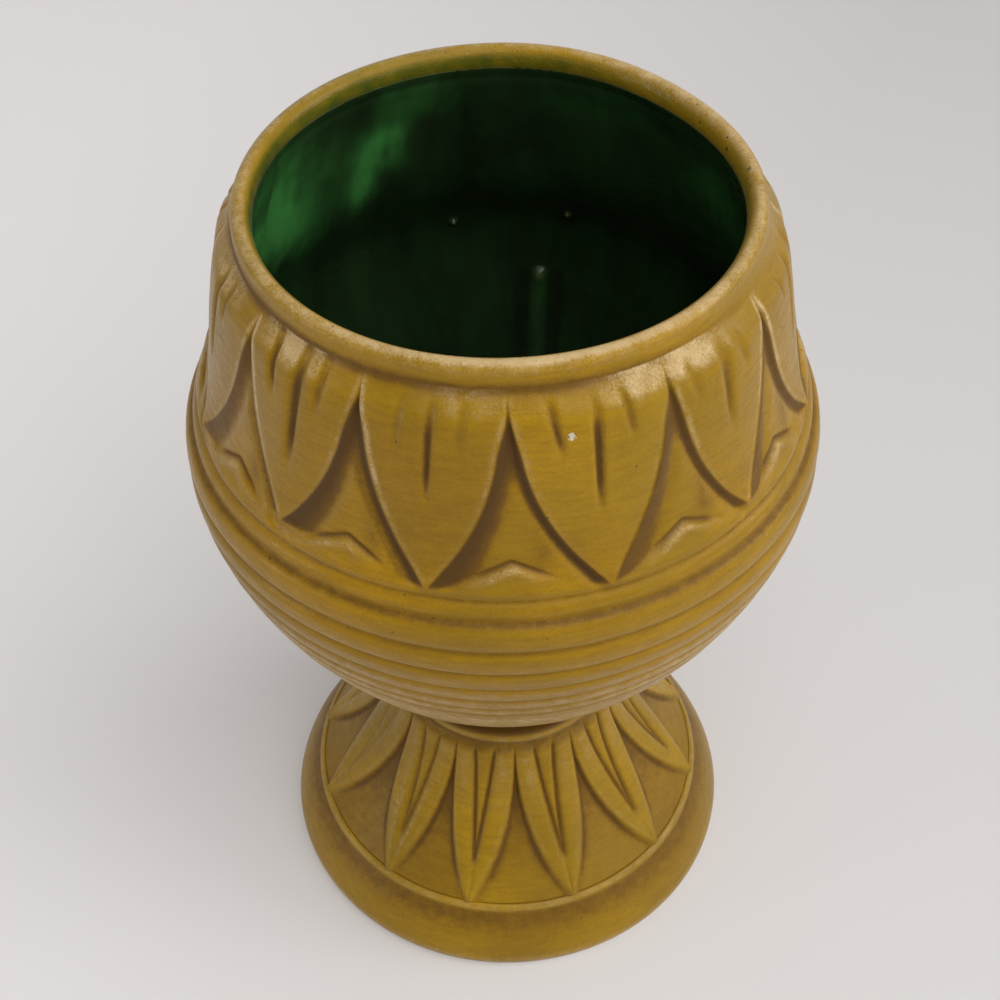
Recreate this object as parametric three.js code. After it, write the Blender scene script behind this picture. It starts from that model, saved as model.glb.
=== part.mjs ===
// Goblet vase in fired clay: a bowl with petals and turned rings on a flared, hollow foot.
// The bowl's spigot stands in the foot's neck, and a ring of joining slip lies in their seam.
// Millimetres and degrees, +Z up, origin in the middle of the ring that the vase stands on.
// A drop is a distance below the top of the lip. An angle of 0 faces -Y and grows towards +X.
import * as THREE from 'three';

// Heights
const footHeight = 64.3; // table to the seam between foot and bowl
const bowlHeight = 164.7; // seam to the top of the lip

// Bowl, in the order of its outline from the lip down
const mouthRadius = 56.5; // to the crest of the lip
const lipRadius = 2.1; // the rolled lip is round in section
const lipOverhang = 0.9; // over the groove under it
const collarFall = 2.6; // from that groove down to the petals' tops
const shoulderFall = 7.3; // from the petals' tops down to the shoulder
const shoulderReach = 6.1; // beyond the mouth's radius
const waistReach = 6.4; // beyond the shoulder's radius, where the petals end
const bellyFall = 18.9; // from the petals' tips down to the belly's widest
const bellyReach = 7.9; // beyond the waist's radius
const neckRadius = 26;
const neckLength = 12.2; // from the seam up to where the bowl begins to widen
const bowlWall = 4.6;
const floorThickness = 5;

// Fullness of the bowl's outline, as shares
const collarPlace = 0.6; // of the way down the collar, where the curve starts
const collarShare = 0.25; // of the way out from the lip to the shoulder, at that place
const waistShare = 0.85; // of the way down from the shoulder to the petals' tips
const swellPlace = 0.4; // of the way down from the petals' tips to the belly
const swellShare = 0.86; // of the way out from the waist to the belly, at that place
const underFullness = 1.6; // 1 is a cone under the belly, more is rounder
const underRoundness = 0.23; // share of a rounder curve that turns in to the neck
const turnInFullness = 4; // of that rounder curve
const innerFloorShare = 0.6; // of the floor's width is flat

// Petals on the bowl, and the chevrons between them
const petalCount = 12;
const bowlTurn = -12.9; // angle of one petal's middle
const petalLength = 44.9;
const petalSpread = 14.2; // half a petal's width at its top
const outlineFullness = 2.2; // 1 is a straight-sided point, more is rounder
const petalHeight = 1.8;
const petalEdge = 1.3; // the slope at a petal's edge
const chevronPeak = 6.5; // its height over the petals' tips
const chevronRise = 5.4; // from the ends of its arms to its peak
const chevronSpread = 8; // from its peak to the end of an arm
const chevronCurve = 0.8; // 1 is a straight arm, less is hollow
const chevronHeight = 1.1;

// Turned grooves round the belly
const ringStart = 6.5; // from the petals' tips down to the uppermost groove
const ringCount = 7;
const ringPitch = 9; // from the uppermost groove to the next
const pitchRatio = 0.88; // each pitch to the one above it
const ringDepth = 0.9;

// Foot
const standRadius = 65.1; // the foot's widest edge
const standEdge = 3.3; // height of that edge over the table
const standRounding = 2; // from that edge in to the flat ring
const standWidth = 4.8; // of the flat ring that rests on the table
const beadHeight = 18.8; // of the fine bead round the foot, over the table
const skirtReach = 8.3; // of the foot's edge beyond the foot under the bead
const beadSection = 1.1;
const flareFullness = 1.5; // 1 is a cone, more is a trumpet
const skirtFullness = 1.45; // 1 is a cone under the bead, more is rounder
const footWall = 5;
const hollowStart = 0.55; // share of the skirt that the hollow follows
const hollowEnd = 0.8; // share of the flare that the hollow follows

// Leaves on the foot
const leafCount = 12;
const footTurn = -11.2; // angle of one leaf's middle
const leafSpread = 14; // half a leaf's width at its top
const leafHeight = 1.5;
const leafEdge = 2; // the slope at a leaf's edge
const veinSpread = 5.3; // from a leaf's middle to the groove beside it, at the top
const veinStop = 7; // from the meeting of a leaf's two grooves down to its tip
const veinDepth = 1;
const veinWidth = 1.6; // from a groove's middle to its edge

// Seam of bowl and foot
const seamGap = 0.3; // between pieces that touch
const stubInset = 1; // of the two necks inside the seam ring
const socketWall = 5; // of the foot's neck round the spigot
const socketFloor = 1; // of the foot's neck below the spigot's end
const spigotLength = 3;
const seamRingHeight = 4;
const seamRingReach = 4.9; // of the ring beyond the bowl's neck
const collarInset = 0.3; // of the foot's collar behind the ring

// Glaze inside the bowl
const glazeThickness = 0.6;
const glazeDrop = 6;

// Facets
const hollowFacets = 40; // all round the hollows, the neck and the seam
const turnedFacets = 60; // all round the lip, the grooves and the foot's edge
const petalRows = 10;
const petalRowBias = 1.3; // 1 spaces the rows evenly, more is closer at the tips
const leafRows = 11;
const bendShares = [0.3, 0.6, 1]; // along the bend from the wall to the floor

// Drops down the bowl
const petalTopDrop = 2 * lipRadius + collarFall;
const collarDrop = 2 * lipRadius + collarPlace * collarFall;
const shoulderDrop = petalTopDrop + shoulderFall;
const petalTipDrop = petalTopDrop + petalLength;
const chevronDrop = petalTipDrop - chevronPeak;
const ringDrop = petalTipDrop + ringStart;
const bellyDrop = petalTipDrop + bellyFall;
const neckDrop = bowlHeight - neckLength;

// Levels over the table
const height = footHeight + bowlHeight;
const floorLevel = footHeight + floorThickness;
const ledgeLevel = footHeight + seamRingHeight / 2 + seamGap;
const collarLevel = footHeight - seamRingHeight / 2 - seamGap;
const leafTipLevel = beadHeight + beadSection;

// Radii
const shoulderRadius = mouthRadius + shoulderReach;
const waistRadius = shoulderRadius + waistReach;
const bellyRadius = waistRadius + bellyReach;
const stubRadius = neckRadius - stubInset;
const socketRadius = stubRadius - socketWall;
const seamRingRadius = neckRadius + seamRingReach;
const collarRadius = seamRingRadius - collarInset;
const beadRadius = standRadius - skirtReach;

const clamp = (value, low = 0, high = 1) => Math.min(high, Math.max(low, value));
const mix = (a, b, share) => a + (b - a) * share;
const ease = (value) => clamp(value) ** 2 * (3 - 2 * clamp(value));
const steps = (count, from, to) => {
  return Array.from({ length: count }, (_, i) => mix(from, to, i / (count - 1)));
};

// Outlines

// A smooth curve through [drop, radius] points, upright at its last point
function curveThrough(points) {
  const slopes = points.map((point, i) => {
    if (i === points.length - 1) return 0;
    const before = points[Math.max(0, i - 1)];
    const after = points[i + 1];
    return (after[1] - before[1]) / (after[0] - before[0]);
  });
  return (drop) => {
    let i = 0;
    while (i < points.length - 2 && drop > points[i + 1][0]) i += 1;
    const span = points[i + 1][0] - points[i][0];
    const t = (drop - points[i][0]) / span;
    const ends = mix(points[i][1], points[i + 1][1], t * t * (3 - 2 * t));
    const leaving = slopes[i] * t * (1 - t) * (1 - t);
    const arriving = slopes[i + 1] * t * t * (t - 1);
    return ends + span * (leaving + arriving);
  };
}

const shoulderCurve = curveThrough([
  [collarDrop, mix(mouthRadius + lipRadius, shoulderRadius, collarShare)],
  [shoulderDrop, shoulderRadius],
  [mix(shoulderDrop, petalTipDrop, waistShare), waistRadius],
  [mix(petalTipDrop, bellyDrop, swellPlace), mix(waistRadius, bellyRadius, swellShare)],
  [bellyDrop, bellyRadius],
]);

// The bowl's turned surface, under its petals and over its grooves
function bowlRadius(drop) {
  if (drop <= bellyDrop) return shoulderCurve(drop);
  const share = (drop - bellyDrop) / (neckDrop - bellyDrop);
  const inward = mix(share ** underFullness, share ** turnInFullness, underRoundness);
  const under = mix(bellyRadius, neckRadius, inward);
  const fillet = neckLength / 3;
  return (under + neckRadius + Math.hypot(under - neckRadius, fillet)) / 2;
}

// The foot's turned surface, under its leaves and bead
function footRadius(level) {
  if (level >= beadHeight) {
    const share = (collarLevel - level) / (collarLevel - beadHeight);
    return mix(collarRadius, beadRadius, clamp(share) ** flareFullness);
  }
  const share = (level - standEdge) / (beadHeight - standEdge);
  return mix(standRadius, beadRadius, clamp(share) ** skirtFullness);
}

// A point lifted off a turned surface that widens by its flare for each millimetre down
function lifted(radius, level, flare, lift) {
  const length = Math.hypot(1, flare);
  return [radius + lift / length, level + (lift * flare) / length];
}

const nearby = 0.1;

function bowlPoint(drop, lift) {
  const flare = (bowlRadius(drop + nearby) - bowlRadius(drop - nearby)) / (2 * nearby);
  return lifted(bowlRadius(drop), height - drop, flare, lift);
}

function footPoint(level, lift) {
  const flare = (footRadius(level - nearby) - footRadius(level + nearby)) / (2 * nearby);
  return lifted(footRadius(level), level, flare, lift);
}

// Carving, as heights over the turned surfaces

function petalHalf(drop) {
  const share = (drop - petalTopDrop) / (petalTipDrop - petalTopDrop);
  return petalSpread * (1 - clamp(share) ** outlineFullness);
}

function petalLift(offCentre, drop) {
  const topFade = ease((drop - petalTopDrop) / shoulderDrop);
  const tipFade = 1 - ease((drop - petalTipDrop) / petalHeight);
  const inside = 1 - ease((offCentre - petalHalf(drop)) / petalEdge);
  return petalHeight * topFade * tipFade * inside;
}

function chevronLift(offRecess, drop) {
  const arm = chevronRise * (offRecess / chevronSpread) ** chevronCurve;
  const below = ease((drop - chevronDrop - arm) / chevronHeight);
  return chevronHeight * below * (1 - ease((drop - petalTipDrop) / petalHeight));
}

function bowlLift(offCentre, drop) {
  const offRecess = 180 / petalCount - offCentre;
  return Math.max(petalLift(offCentre, drop), chevronLift(offRecess, drop));
}

function leafHalf(level) {
  const share = (collarLevel - level) / (collarLevel - leafTipLevel);
  return leafSpread * (1 - clamp(share) ** outlineFullness);
}

const veinLength = collarLevel - leafTipLevel - veinStop;
const veinHalf = (level) => veinSpread * (1 - clamp((collarLevel - level) / veinLength));

function leafLift(offCentre, level) {
  const topFade = ease((collarLevel - level) / leafHeight);
  const inside = 1 - ease((offCentre - leafHalf(level)) / leafEdge);
  const groove = 1 - ease(Math.abs(offCentre - veinHalf(level)) / veinWidth);
  const grooveEnd = 1 - ease((collarLevel - level - veinLength) / veinWidth);
  return topFade * (leafHeight * inside - veinDepth * groove * grooveEnd);
}

// Rings of points: each is its angles and, for an angle, a radius and a level

function plainRing(facets, turn, [radius, level]) {
  const angles = Array.from({ length: facets }, (_, i) => turn + (360 * i) / facets);
  return { angles, at: () => [radius, level] };
}

// Angles that follow an outline on both sides of each petal or leaf
function outlinedRing(count, turn, halfShare, at) {
  const share = 360 / count;
  const backHalf = halfShare.slice(1, -1).reverse();
  const local = [...halfShare, ...backHalf.map((angle) => share - angle)];
  const turns = Array.from({ length: count }, (_, i) => turn + i * share);
  const angles = turns.flatMap((start) => local.map((angle) => start + angle));
  const offCentre = (angle) => {
    const across = (angle - turn) / share;
    return Math.abs(across - Math.round(across)) * share;
  };
  return { angles, at: (angle) => at(offCentre(angle)) };
}

// Triangles between two rings that start at one angle. Rings with as many points as each
// other are joined point to point, and others by their angles.
function stitch(upper, lower, triangles) {
  const paired = upper.angles.length === lower.angles.length;
  const corner = (row, i) => (row.pole ? row.first : row.first + (i % row.angles.length));
  const reach = (row, i) => {
    if (row.pole || i > row.angles.length) return Infinity;
    if (paired || i === row.angles.length) return (360 * i) / row.angles.length;
    return row.angles[i] - row.angles[0];
  };
  let i = 0;
  let j = 0;
  while (Math.min(reach(upper, i + 1), reach(lower, j + 1)) < Infinity) {
    const forward = reach(lower, j + 1) <= reach(upper, i + 1);
    const last = forward ? corner(lower, j + 1) : corner(upper, i + 1);
    triangles.push(corner(upper, i), corner(lower, j), last);
    if (forward) j += 1;
    else i += 1;
  }
}

// Joins rings into one closed body, from axis to axis or, as a loop, back to the first ring
function solidOfRings(rings, isLoop) {
  const positions = [];
  const rows = rings.map(({ angles, at }) => {
    const row = { first: positions.length / 3, angles, pole: at(0)[0] === 0 };
    for (const angle of row.pole ? [0] : angles) {
      const [radius, level] = at(angle);
      const turn = THREE.MathUtils.degToRad(angle);
      positions.push(radius * Math.sin(turn), -radius * Math.cos(turn), level);
    }
    return row;
  });
  const triangles = [];
  for (let i = 1; i < rows.length; i += 1) stitch(rows[i - 1], rows[i], triangles);
  if (isLoop) stitch(rows[rows.length - 1], rows[0], triangles);
  const geometry = new THREE.BufferGeometry();
  geometry.setAttribute('position', new THREE.Float32BufferAttribute(positions, 3));
  geometry.setIndex(triangles);
  geometry.computeVertexNormals();
  return geometry;
}

// Points on a circle's arc, from one angle to another
function arc(count, [radius, level], section, from, to) {
  return steps(count, from, to).map((angle) => {
    const turn = THREE.MathUtils.degToRad(angle);
    return [radius + section * Math.cos(turn), level + section * Math.sin(turn)];
  });
}

// The bowl's hollow, from under the lip to the middle of the floor, with its inward normals
function hollowStations() {
  const wall = steps(9, glazeDrop, neckDrop - 2 * neckLength).map((drop) => {
    const outer = bowlPoint(drop, 0);
    const point = bowlPoint(drop, -bowlWall);
    return { point, normal: point.map((value, k) => (value - outer[k]) / bowlWall) };
  });
  const { point, normal } = wall[wall.length - 1];
  const corner = point[0] + ((point[1] - floorLevel) * normal[1]) / normal[0];
  const bend = new THREE.QuadraticBezierCurve(
    new THREE.Vector2(...point),
    new THREE.Vector2(corner, floorLevel),
    new THREE.Vector2(innerFloorShare * corner, floorLevel),
  );
  const floor = bendShares.map((t) => {
    const tangent = bend.getTangent(t);
    return { point: bend.getPoint(t).toArray(), normal: [tangent.y, -tangent.x] };
  });
  return [...wall, ...floor];
}

// The hollow's surface moved towards its middle, as rings from the top to the axis
function hollowRings(offset) {
  const rings = hollowStations().map(({ point, normal }) => {
    const moved = point.map((value, k) => value + offset * normal[k]);
    return plainRing(hollowFacets, bowlTurn, moved);
  });
  return [...rings, plainRing(hollowFacets, bowlTurn, [0, floorLevel + offset])];
}

// Bowl

function lipRings() {
  const roll = arc(6, [mouthRadius, height - lipRadius], lipRadius, 180, -40);
  const groove = [mouthRadius + lipRadius - lipOverhang, height - 2 * lipRadius];
  const points = [...roll, groove, bowlPoint(collarDrop, 0)];
  return points.map((point) => plainRing(turnedFacets, bowlTurn, point));
}

function petalRings() {
  const half = 180 / petalCount;
  const rows = steps(petalRows, 0, 1).map((share) => {
    return mix(petalTipDrop, petalTopDrop, (1 - share) ** petalRowBias);
  });
  return rows.map((drop) => {
    const top = clamp(petalHalf(drop), petalEdge, half - 1.5 * petalEdge);
    const foot = top + petalEdge;
    const halfShare = [0, top / 2, top, foot, (foot + half) / 2, half];
    const at = (offCentre) => bowlPoint(drop, bowlLift(offCentre, drop));
    return outlinedRing(petalCount, bowlTurn, halfShare, at);
  });
}

function turnedRings() {
  const start = bowlPoint(petalTipDrop + petalHeight, 0);
  const points = [start];
  let drop = ringDrop;
  let pitch = ringPitch;
  for (let i = 0; i < ringCount; i += 1) {
    const edge = pitch / 4;
    points.push(bowlPoint(drop - edge, 0), bowlPoint(drop, -ringDepth), bowlPoint(drop + edge, 0));
    drop += pitch;
    pitch *= pitchRatio;
  }
  return points.map((point) => plainRing(turnedFacets, bowlTurn, point));
}

function underRings() {
  const grooved = (ringPitch * (1 - pitchRatio ** ringCount)) / (1 - pitchRatio);
  const drops = steps(8, ringDrop + grooved, height - ledgeLevel);
  return drops.map((drop) => plainRing(hollowFacets, bowlTurn, [bowlRadius(drop), height - drop]));
}

function spigotRings() {
  const seamFace = footHeight + seamGap / 2;
  const spigotRadius = socketRadius - seamGap;
  const spigotEnd = footHeight - spigotLength;
  const points = [
    [stubRadius, ledgeLevel],
    [stubRadius, seamFace],
    [spigotRadius, seamFace],
    [spigotRadius, spigotEnd],
    [0, spigotEnd],
  ];
  return points.map((point) => plainRing(hollowFacets, bowlTurn, point));
}

function bowlGeometry() {
  const inside = hollowRings(0).reverse();
  const outside = [...lipRings(), ...petalRings(), ...turnedRings(), ...underRings()];
  return solidOfRings([...inside, ...outside, ...spigotRings()], false);
}

// Foot

function leafRings() {
  const half = 180 / leafCount;
  return steps(leafRows, collarLevel, leafTipLevel).map((level) => {
    const top = clamp(leafHalf(level), 1.5 * veinWidth, half - 1.5 * leafEdge);
    const vein = clamp(veinHalf(level), veinWidth / 2, top - veinWidth / 2);
    const halfShare = [0, vein, (vein + top) / 2, top, top + leafEdge, half];
    const at = (offCentre) => footPoint(level, leafLift(offCentre, level));
    return outlinedRing(leafCount, footTurn, halfShare, at);
  });
}

function beadRings() {
  const rows = steps(5, 90, -90).map((angle) => {
    const turn = THREE.MathUtils.degToRad(angle);
    return footPoint(beadHeight + beadSection * Math.sin(turn), beadSection * Math.cos(turn));
  });
  return rows.map((point) => plainRing(turnedFacets, footTurn, point));
}

function skirtRings() {
  const outer = standRadius - standRounding;
  const skirt = steps(5, beadHeight, standEdge).slice(1, -1);
  const rounding = steps(3, 0, 90).map((angle) => {
    const turn = THREE.MathUtils.degToRad(angle);
    return [outer + standRounding * Math.cos(turn), standEdge * (1 - Math.sin(turn))];
  });
  const points = [
    ...skirt.map((level) => [footRadius(level), level]),
    ...rounding,
    [outer - standWidth, 0],
  ];
  return points.map((point) => plainRing(turnedFacets, footTurn, point));
}

function footHollowRings() {
  const low = mix(standEdge, beadHeight, hollowStart);
  const walls = steps(6, low, mix(beadHeight, collarLevel, hollowEnd));
  const points = [
    ...walls.map((level) => footPoint(level, -footWall)),
    [socketRadius, footHeight - spigotLength - socketFloor],
  ];
  return points.map((point) => plainRing(hollowFacets, footTurn, point));
}

function footGeometry() {
  const seamFace = footHeight - seamGap / 2;
  const neck = [
    [socketRadius, seamFace],
    [stubRadius, seamFace],
    [stubRadius, collarLevel],
  ].map((point) => plainRing(hollowFacets, footTurn, point));
  const outside = [...neck, ...leafRings(), ...beadRings(), ...skirtRings()];
  return solidOfRings([...outside, ...footHollowRings()], true);
}

// Ring of joining slip, flat where it lies against the necks and rounded outside
function neckRingGeometry() {
  const section = seamRingHeight / 2;
  const inner = stubRadius + seamGap;
  const bulge = arc(7, [seamRingRadius - section, footHeight], section, 90, -90);
  const points = [[inner, footHeight + section], ...bulge, [inner, footHeight - section]];
  const rings = points.map((point) => plainRing(hollowFacets, footTurn, point));
  return solidOfRings(rings, true);
}

// Skin of glaze inside the bowl
function glazeGeometry() {
  const face = hollowRings(seamGap + glazeThickness).reverse();
  return solidOfRings([...face, ...hollowRings(seamGap)], false);
}

function piece(name, geometry, color, roughness) {
  const material = new THREE.MeshStandardMaterial({ color, roughness, metalness: 0 });
  const mesh = new THREE.Mesh(geometry, material);
  mesh.name = name;
  return mesh;
}

const vase = new THREE.Group();
vase.add(
  piece('bowl', bowlGeometry(), 0xa98528, 0.55),
  piece('foot', footGeometry(), 0xa38129, 0.6),
  piece('neck_ring', neckRingGeometry(), 0xab8c3a, 0.6),
  piece('inner_glaze', glazeGeometry(), 0x0c3a1a, 0.12),
);

export default vase;
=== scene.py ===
"""Goblet vase in fired clay: a carved bowl on a flared, hollow foot, with a green glaze inside.

Twelve petals and a set of turned rings are carved into the bowl, and twelve leaves into the foot.
Mustard colour lies over a brown wash, which stays in the recesses, and is rubbed thin on the
edges. Painted shade darkens the shaded petals, the rubbed pale also paints highlights and a side
sheen, and the green glaze has painted light and shadow. Lengths are in metres and angles in
degrees. A drop is a distance below the top of the lip, and a level one above the table. An angle
of 0 faces -Y and grows towards +X.
"""

import logging
import math
from collections.abc import Mapping, Sequence
from dataclasses import dataclass, field
from enum import Enum
from typing import Any, ClassVar

import bpy
import numpy as np
from mathutils import Matrix, Vector


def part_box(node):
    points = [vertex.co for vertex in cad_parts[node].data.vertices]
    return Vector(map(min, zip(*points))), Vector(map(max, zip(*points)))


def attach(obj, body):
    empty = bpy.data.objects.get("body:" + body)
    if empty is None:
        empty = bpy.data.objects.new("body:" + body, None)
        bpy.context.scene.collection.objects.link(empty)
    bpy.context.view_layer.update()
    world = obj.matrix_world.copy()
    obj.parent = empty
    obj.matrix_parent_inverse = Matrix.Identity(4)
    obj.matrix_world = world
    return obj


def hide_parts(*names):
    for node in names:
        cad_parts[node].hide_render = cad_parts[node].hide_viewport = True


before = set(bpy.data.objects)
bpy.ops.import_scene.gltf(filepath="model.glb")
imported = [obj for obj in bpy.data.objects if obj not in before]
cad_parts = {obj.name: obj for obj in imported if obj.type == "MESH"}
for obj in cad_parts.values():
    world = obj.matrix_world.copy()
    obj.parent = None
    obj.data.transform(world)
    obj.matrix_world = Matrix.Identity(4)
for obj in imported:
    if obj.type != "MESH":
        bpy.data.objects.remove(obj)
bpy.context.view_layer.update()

log = logging.getLogger("goblet_vase")

Array = np.ndarray
Socket = bpy.types.NodeSocket
Tone = tuple[int, int, int]
Triple = tuple[float, float, float]

MM = 0.001
BODY = "root"


class Slot(Enum):
    """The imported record's material slots."""

    MUSTARD = "mustard_ceramic"
    GREEN = "green_glaze"


def ease(value: Array | float) -> Array:
    """Smooth step from 0 to 1.

    Args:
        value: where on the step; below 0 and above 1 it is level.

    Returns:
        The step's height, from 0 to 1.
    """
    share = np.clip(value, 0.0, 1.0)
    return share * share * (3.0 - 2.0 * share)


def mix(start: Array | float, end: Array | float, share: Array | float) -> Array:
    """Value that lies a share of the way from start to end."""
    return start + (end - start) * share


def swell(distance: Array, width: float) -> Array:
    """Bell curve across a line.

    Args:
        distance: how far each point lies from the line.
        width: the distance at which the curve has fallen to about a third.

    Returns:
        1 on the line, falling to 0 on both sides.
    """
    return np.exp(-((distance / width) ** 2))


def between(value: Array, start: float, end: float, fade: float) -> Array:
    """Plateau of 1 from start to end, with soft ends.

    Args:
        value: the places to test.
        start: where the plateau begins.
        end: where it ends.
        fade: the length of each soft end, outside the plateau.

    Returns:
        1 on the plateau, 0 past its ends.
    """
    return ease((value - start + fade) / fade) * ease((end + fade - value) / fade)


def turned_from(turn: Array, start: float) -> Array:
    """How far each angle is turned from a start, from -180 to 180 degrees."""
    return (turn - start + 180) % 360 - 180


@dataclass(frozen=True)
class Side:
    """Where round the vase something is strongest, and its share there."""

    turn: float
    spread: float
    share: float = 1.0

    def at(self, turn: Array) -> Array:
        """Its share at some angles."""
        return self.share * swell(turned_from(turn, self.turn), self.spread)


@dataclass(frozen=True)
class Spot:
    """A place where points crowd together, because the carving is fine there."""

    place: float
    width: float
    weight: float


FINE_STEPS = 1200


def crowded(count: int, start: float, end: float, spots: Sequence[Spot]) -> Array:
    """Places from start to end that lie closer together round some spots.

    Args:
        count: how many places, both ends included.
        start: the first place.
        end: the last place.
        spots: where the places crowd.

    Returns:
        The places in order.
    """
    fine = np.linspace(start, end, FINE_STEPS)
    density = np.ones_like(fine)
    for spot in spots:
        density += spot.weight * swell(fine - spot.place, spot.width)
    steps = (density[1:] + density[:-1]) / 2.0
    total = np.concatenate([[0.0], np.cumsum(steps)])
    return np.interp(np.linspace(0.0, total[-1], count), total, fine)


@dataclass(frozen=True)
class Levels:
    """Heights and radii that the frame fixes, read from its nodes."""

    top: float
    seam: float
    ring_height: float
    ring_radius: float
    belly_radius: float
    stand_radius: float

    @classmethod
    def of_frame(cls) -> "Levels":
        """Reads the levels from the boxes of the frame's nodes.

        Returns:
            The levels.
        """
        bowl_low, bowl_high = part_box("bowl")
        foot_low, foot_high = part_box("foot")
        ring_low, ring_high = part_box("neck_ring")
        return cls(
            top=bowl_high.z,
            seam=(ring_low.z + ring_high.z) / 2,
            ring_height=ring_high.z - ring_low.z,
            ring_radius=(ring_high.x - ring_low.x) / 2,
            belly_radius=(bowl_high.x - bowl_low.x) / 2,
            stand_radius=(foot_high.x - foot_low.x) / 2,
        )


@dataclass(frozen=True)
class SpigotJoint:
    """The bowl's spigot in the foot's socket, and the gaps between the pieces round it."""

    neck_radius: float = 26 * MM
    stub_inset: float = 1 * MM
    socket_wall: float = 5 * MM
    spigot_length: float = 3 * MM
    gap: float = 0.3 * MM

    @property
    def stub(self) -> float:
        """Radius of both necks inside the seam ring."""
        return self.neck_radius - self.stub_inset


@dataclass(frozen=True)
class HandTurning:
    """Slight unevenness of a hand-finished body, as waves round and along it, and its warp."""

    seed: int
    depth: float
    waves: int = 9
    most_round: int = 7
    length: float = 60 * MM
    warp: float = 0.0
    warp_side: Side = Side(128.0, 32.0)
    warp_end: float = 211 * MM
    warp_fade: float = 14 * MM

    def at(self, turn: Array, level: Array) -> Array:
        """Height of the unevenness.

        Args:
            turn: angles round the vase.
            level: heights over the table.

        Returns:
            Heights in metres, mostly within the depth, and lower where the top is warped.
        """
        dice = np.random.default_rng(self.seed)
        total = np.zeros(np.broadcast(turn, level).shape)
        for _ in range(self.waves):
            around = dice.integers(1, self.most_round)
            along = dice.uniform(-1.0, 1.0) * 2.0 * math.pi / self.length
            phase = dice.uniform(0.0, 2.0 * math.pi)
            total = total + np.cos(np.radians(turn) * around + level * along + phase)
        pull = self.warp_side.at(turn) * ease((level - self.warp_end) / self.warp_fade)
        return self.depth * total / math.sqrt(self.waves) - self.warp * pull


BOWL_HAND = HandTurning(seed=5, depth=0.12 * MM, warp=1.25 * MM)
BOWL_TURN = -12.9
FOOT_TURN = -11.2


@dataclass
class Zone:
    """A band of a turned body: rows of points, each with as many columns, and its masks."""

    turn: Array
    radius: Array
    level: Array
    masks: dict[str, Array] = field(default_factory=dict)

    @classmethod
    def turned(cls, path: Array, columns: int, start: float, **masks: Array | float) -> "Zone":
        """Turns a path round the axis.

        Args:
            path: rows of radius and level.
            columns: points round each row; 1 where the row is on the axis.
            start: angle of the first column.
            masks: each mask's share on the rows.

        Returns:
            The band.
        """
        turns = start + 360.0 * np.arange(columns) / columns
        shape = (len(path), columns)

        def spread(rows: Array | float) -> Array:
            """Gives each row's value to all of its columns."""
            column = np.asarray(rows, dtype=float).reshape(-1, 1)
            return np.broadcast_to(column, shape).copy()

        return cls(
            turn=np.broadcast_to(turns, shape).copy(),
            radius=spread(path[:, 0]),
            level=spread(path[:, 1]),
            masks={name: spread(rows) for name, rows in masks.items()},
        )

    def roughened(self, hand: HandTurning) -> "Zone":
        """The band with an unevenness added to its radii.

        Args:
            hand: the unevenness.

        Returns:
            The new band.
        """
        on_axis = self.radius < 1e-9
        uneven = np.where(on_axis, 0.0, hand.at(self.turn, self.level))
        return Zone(self.turn, self.radius + uneven, self.level, self.masks)

    def upside_down(self) -> "Zone":
        """The band with its rows in the other order."""
        masks = {name: values[::-1] for name, values in self.masks.items()}
        return Zone(self.turn[::-1], self.radius[::-1], self.level[::-1], masks)


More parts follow.
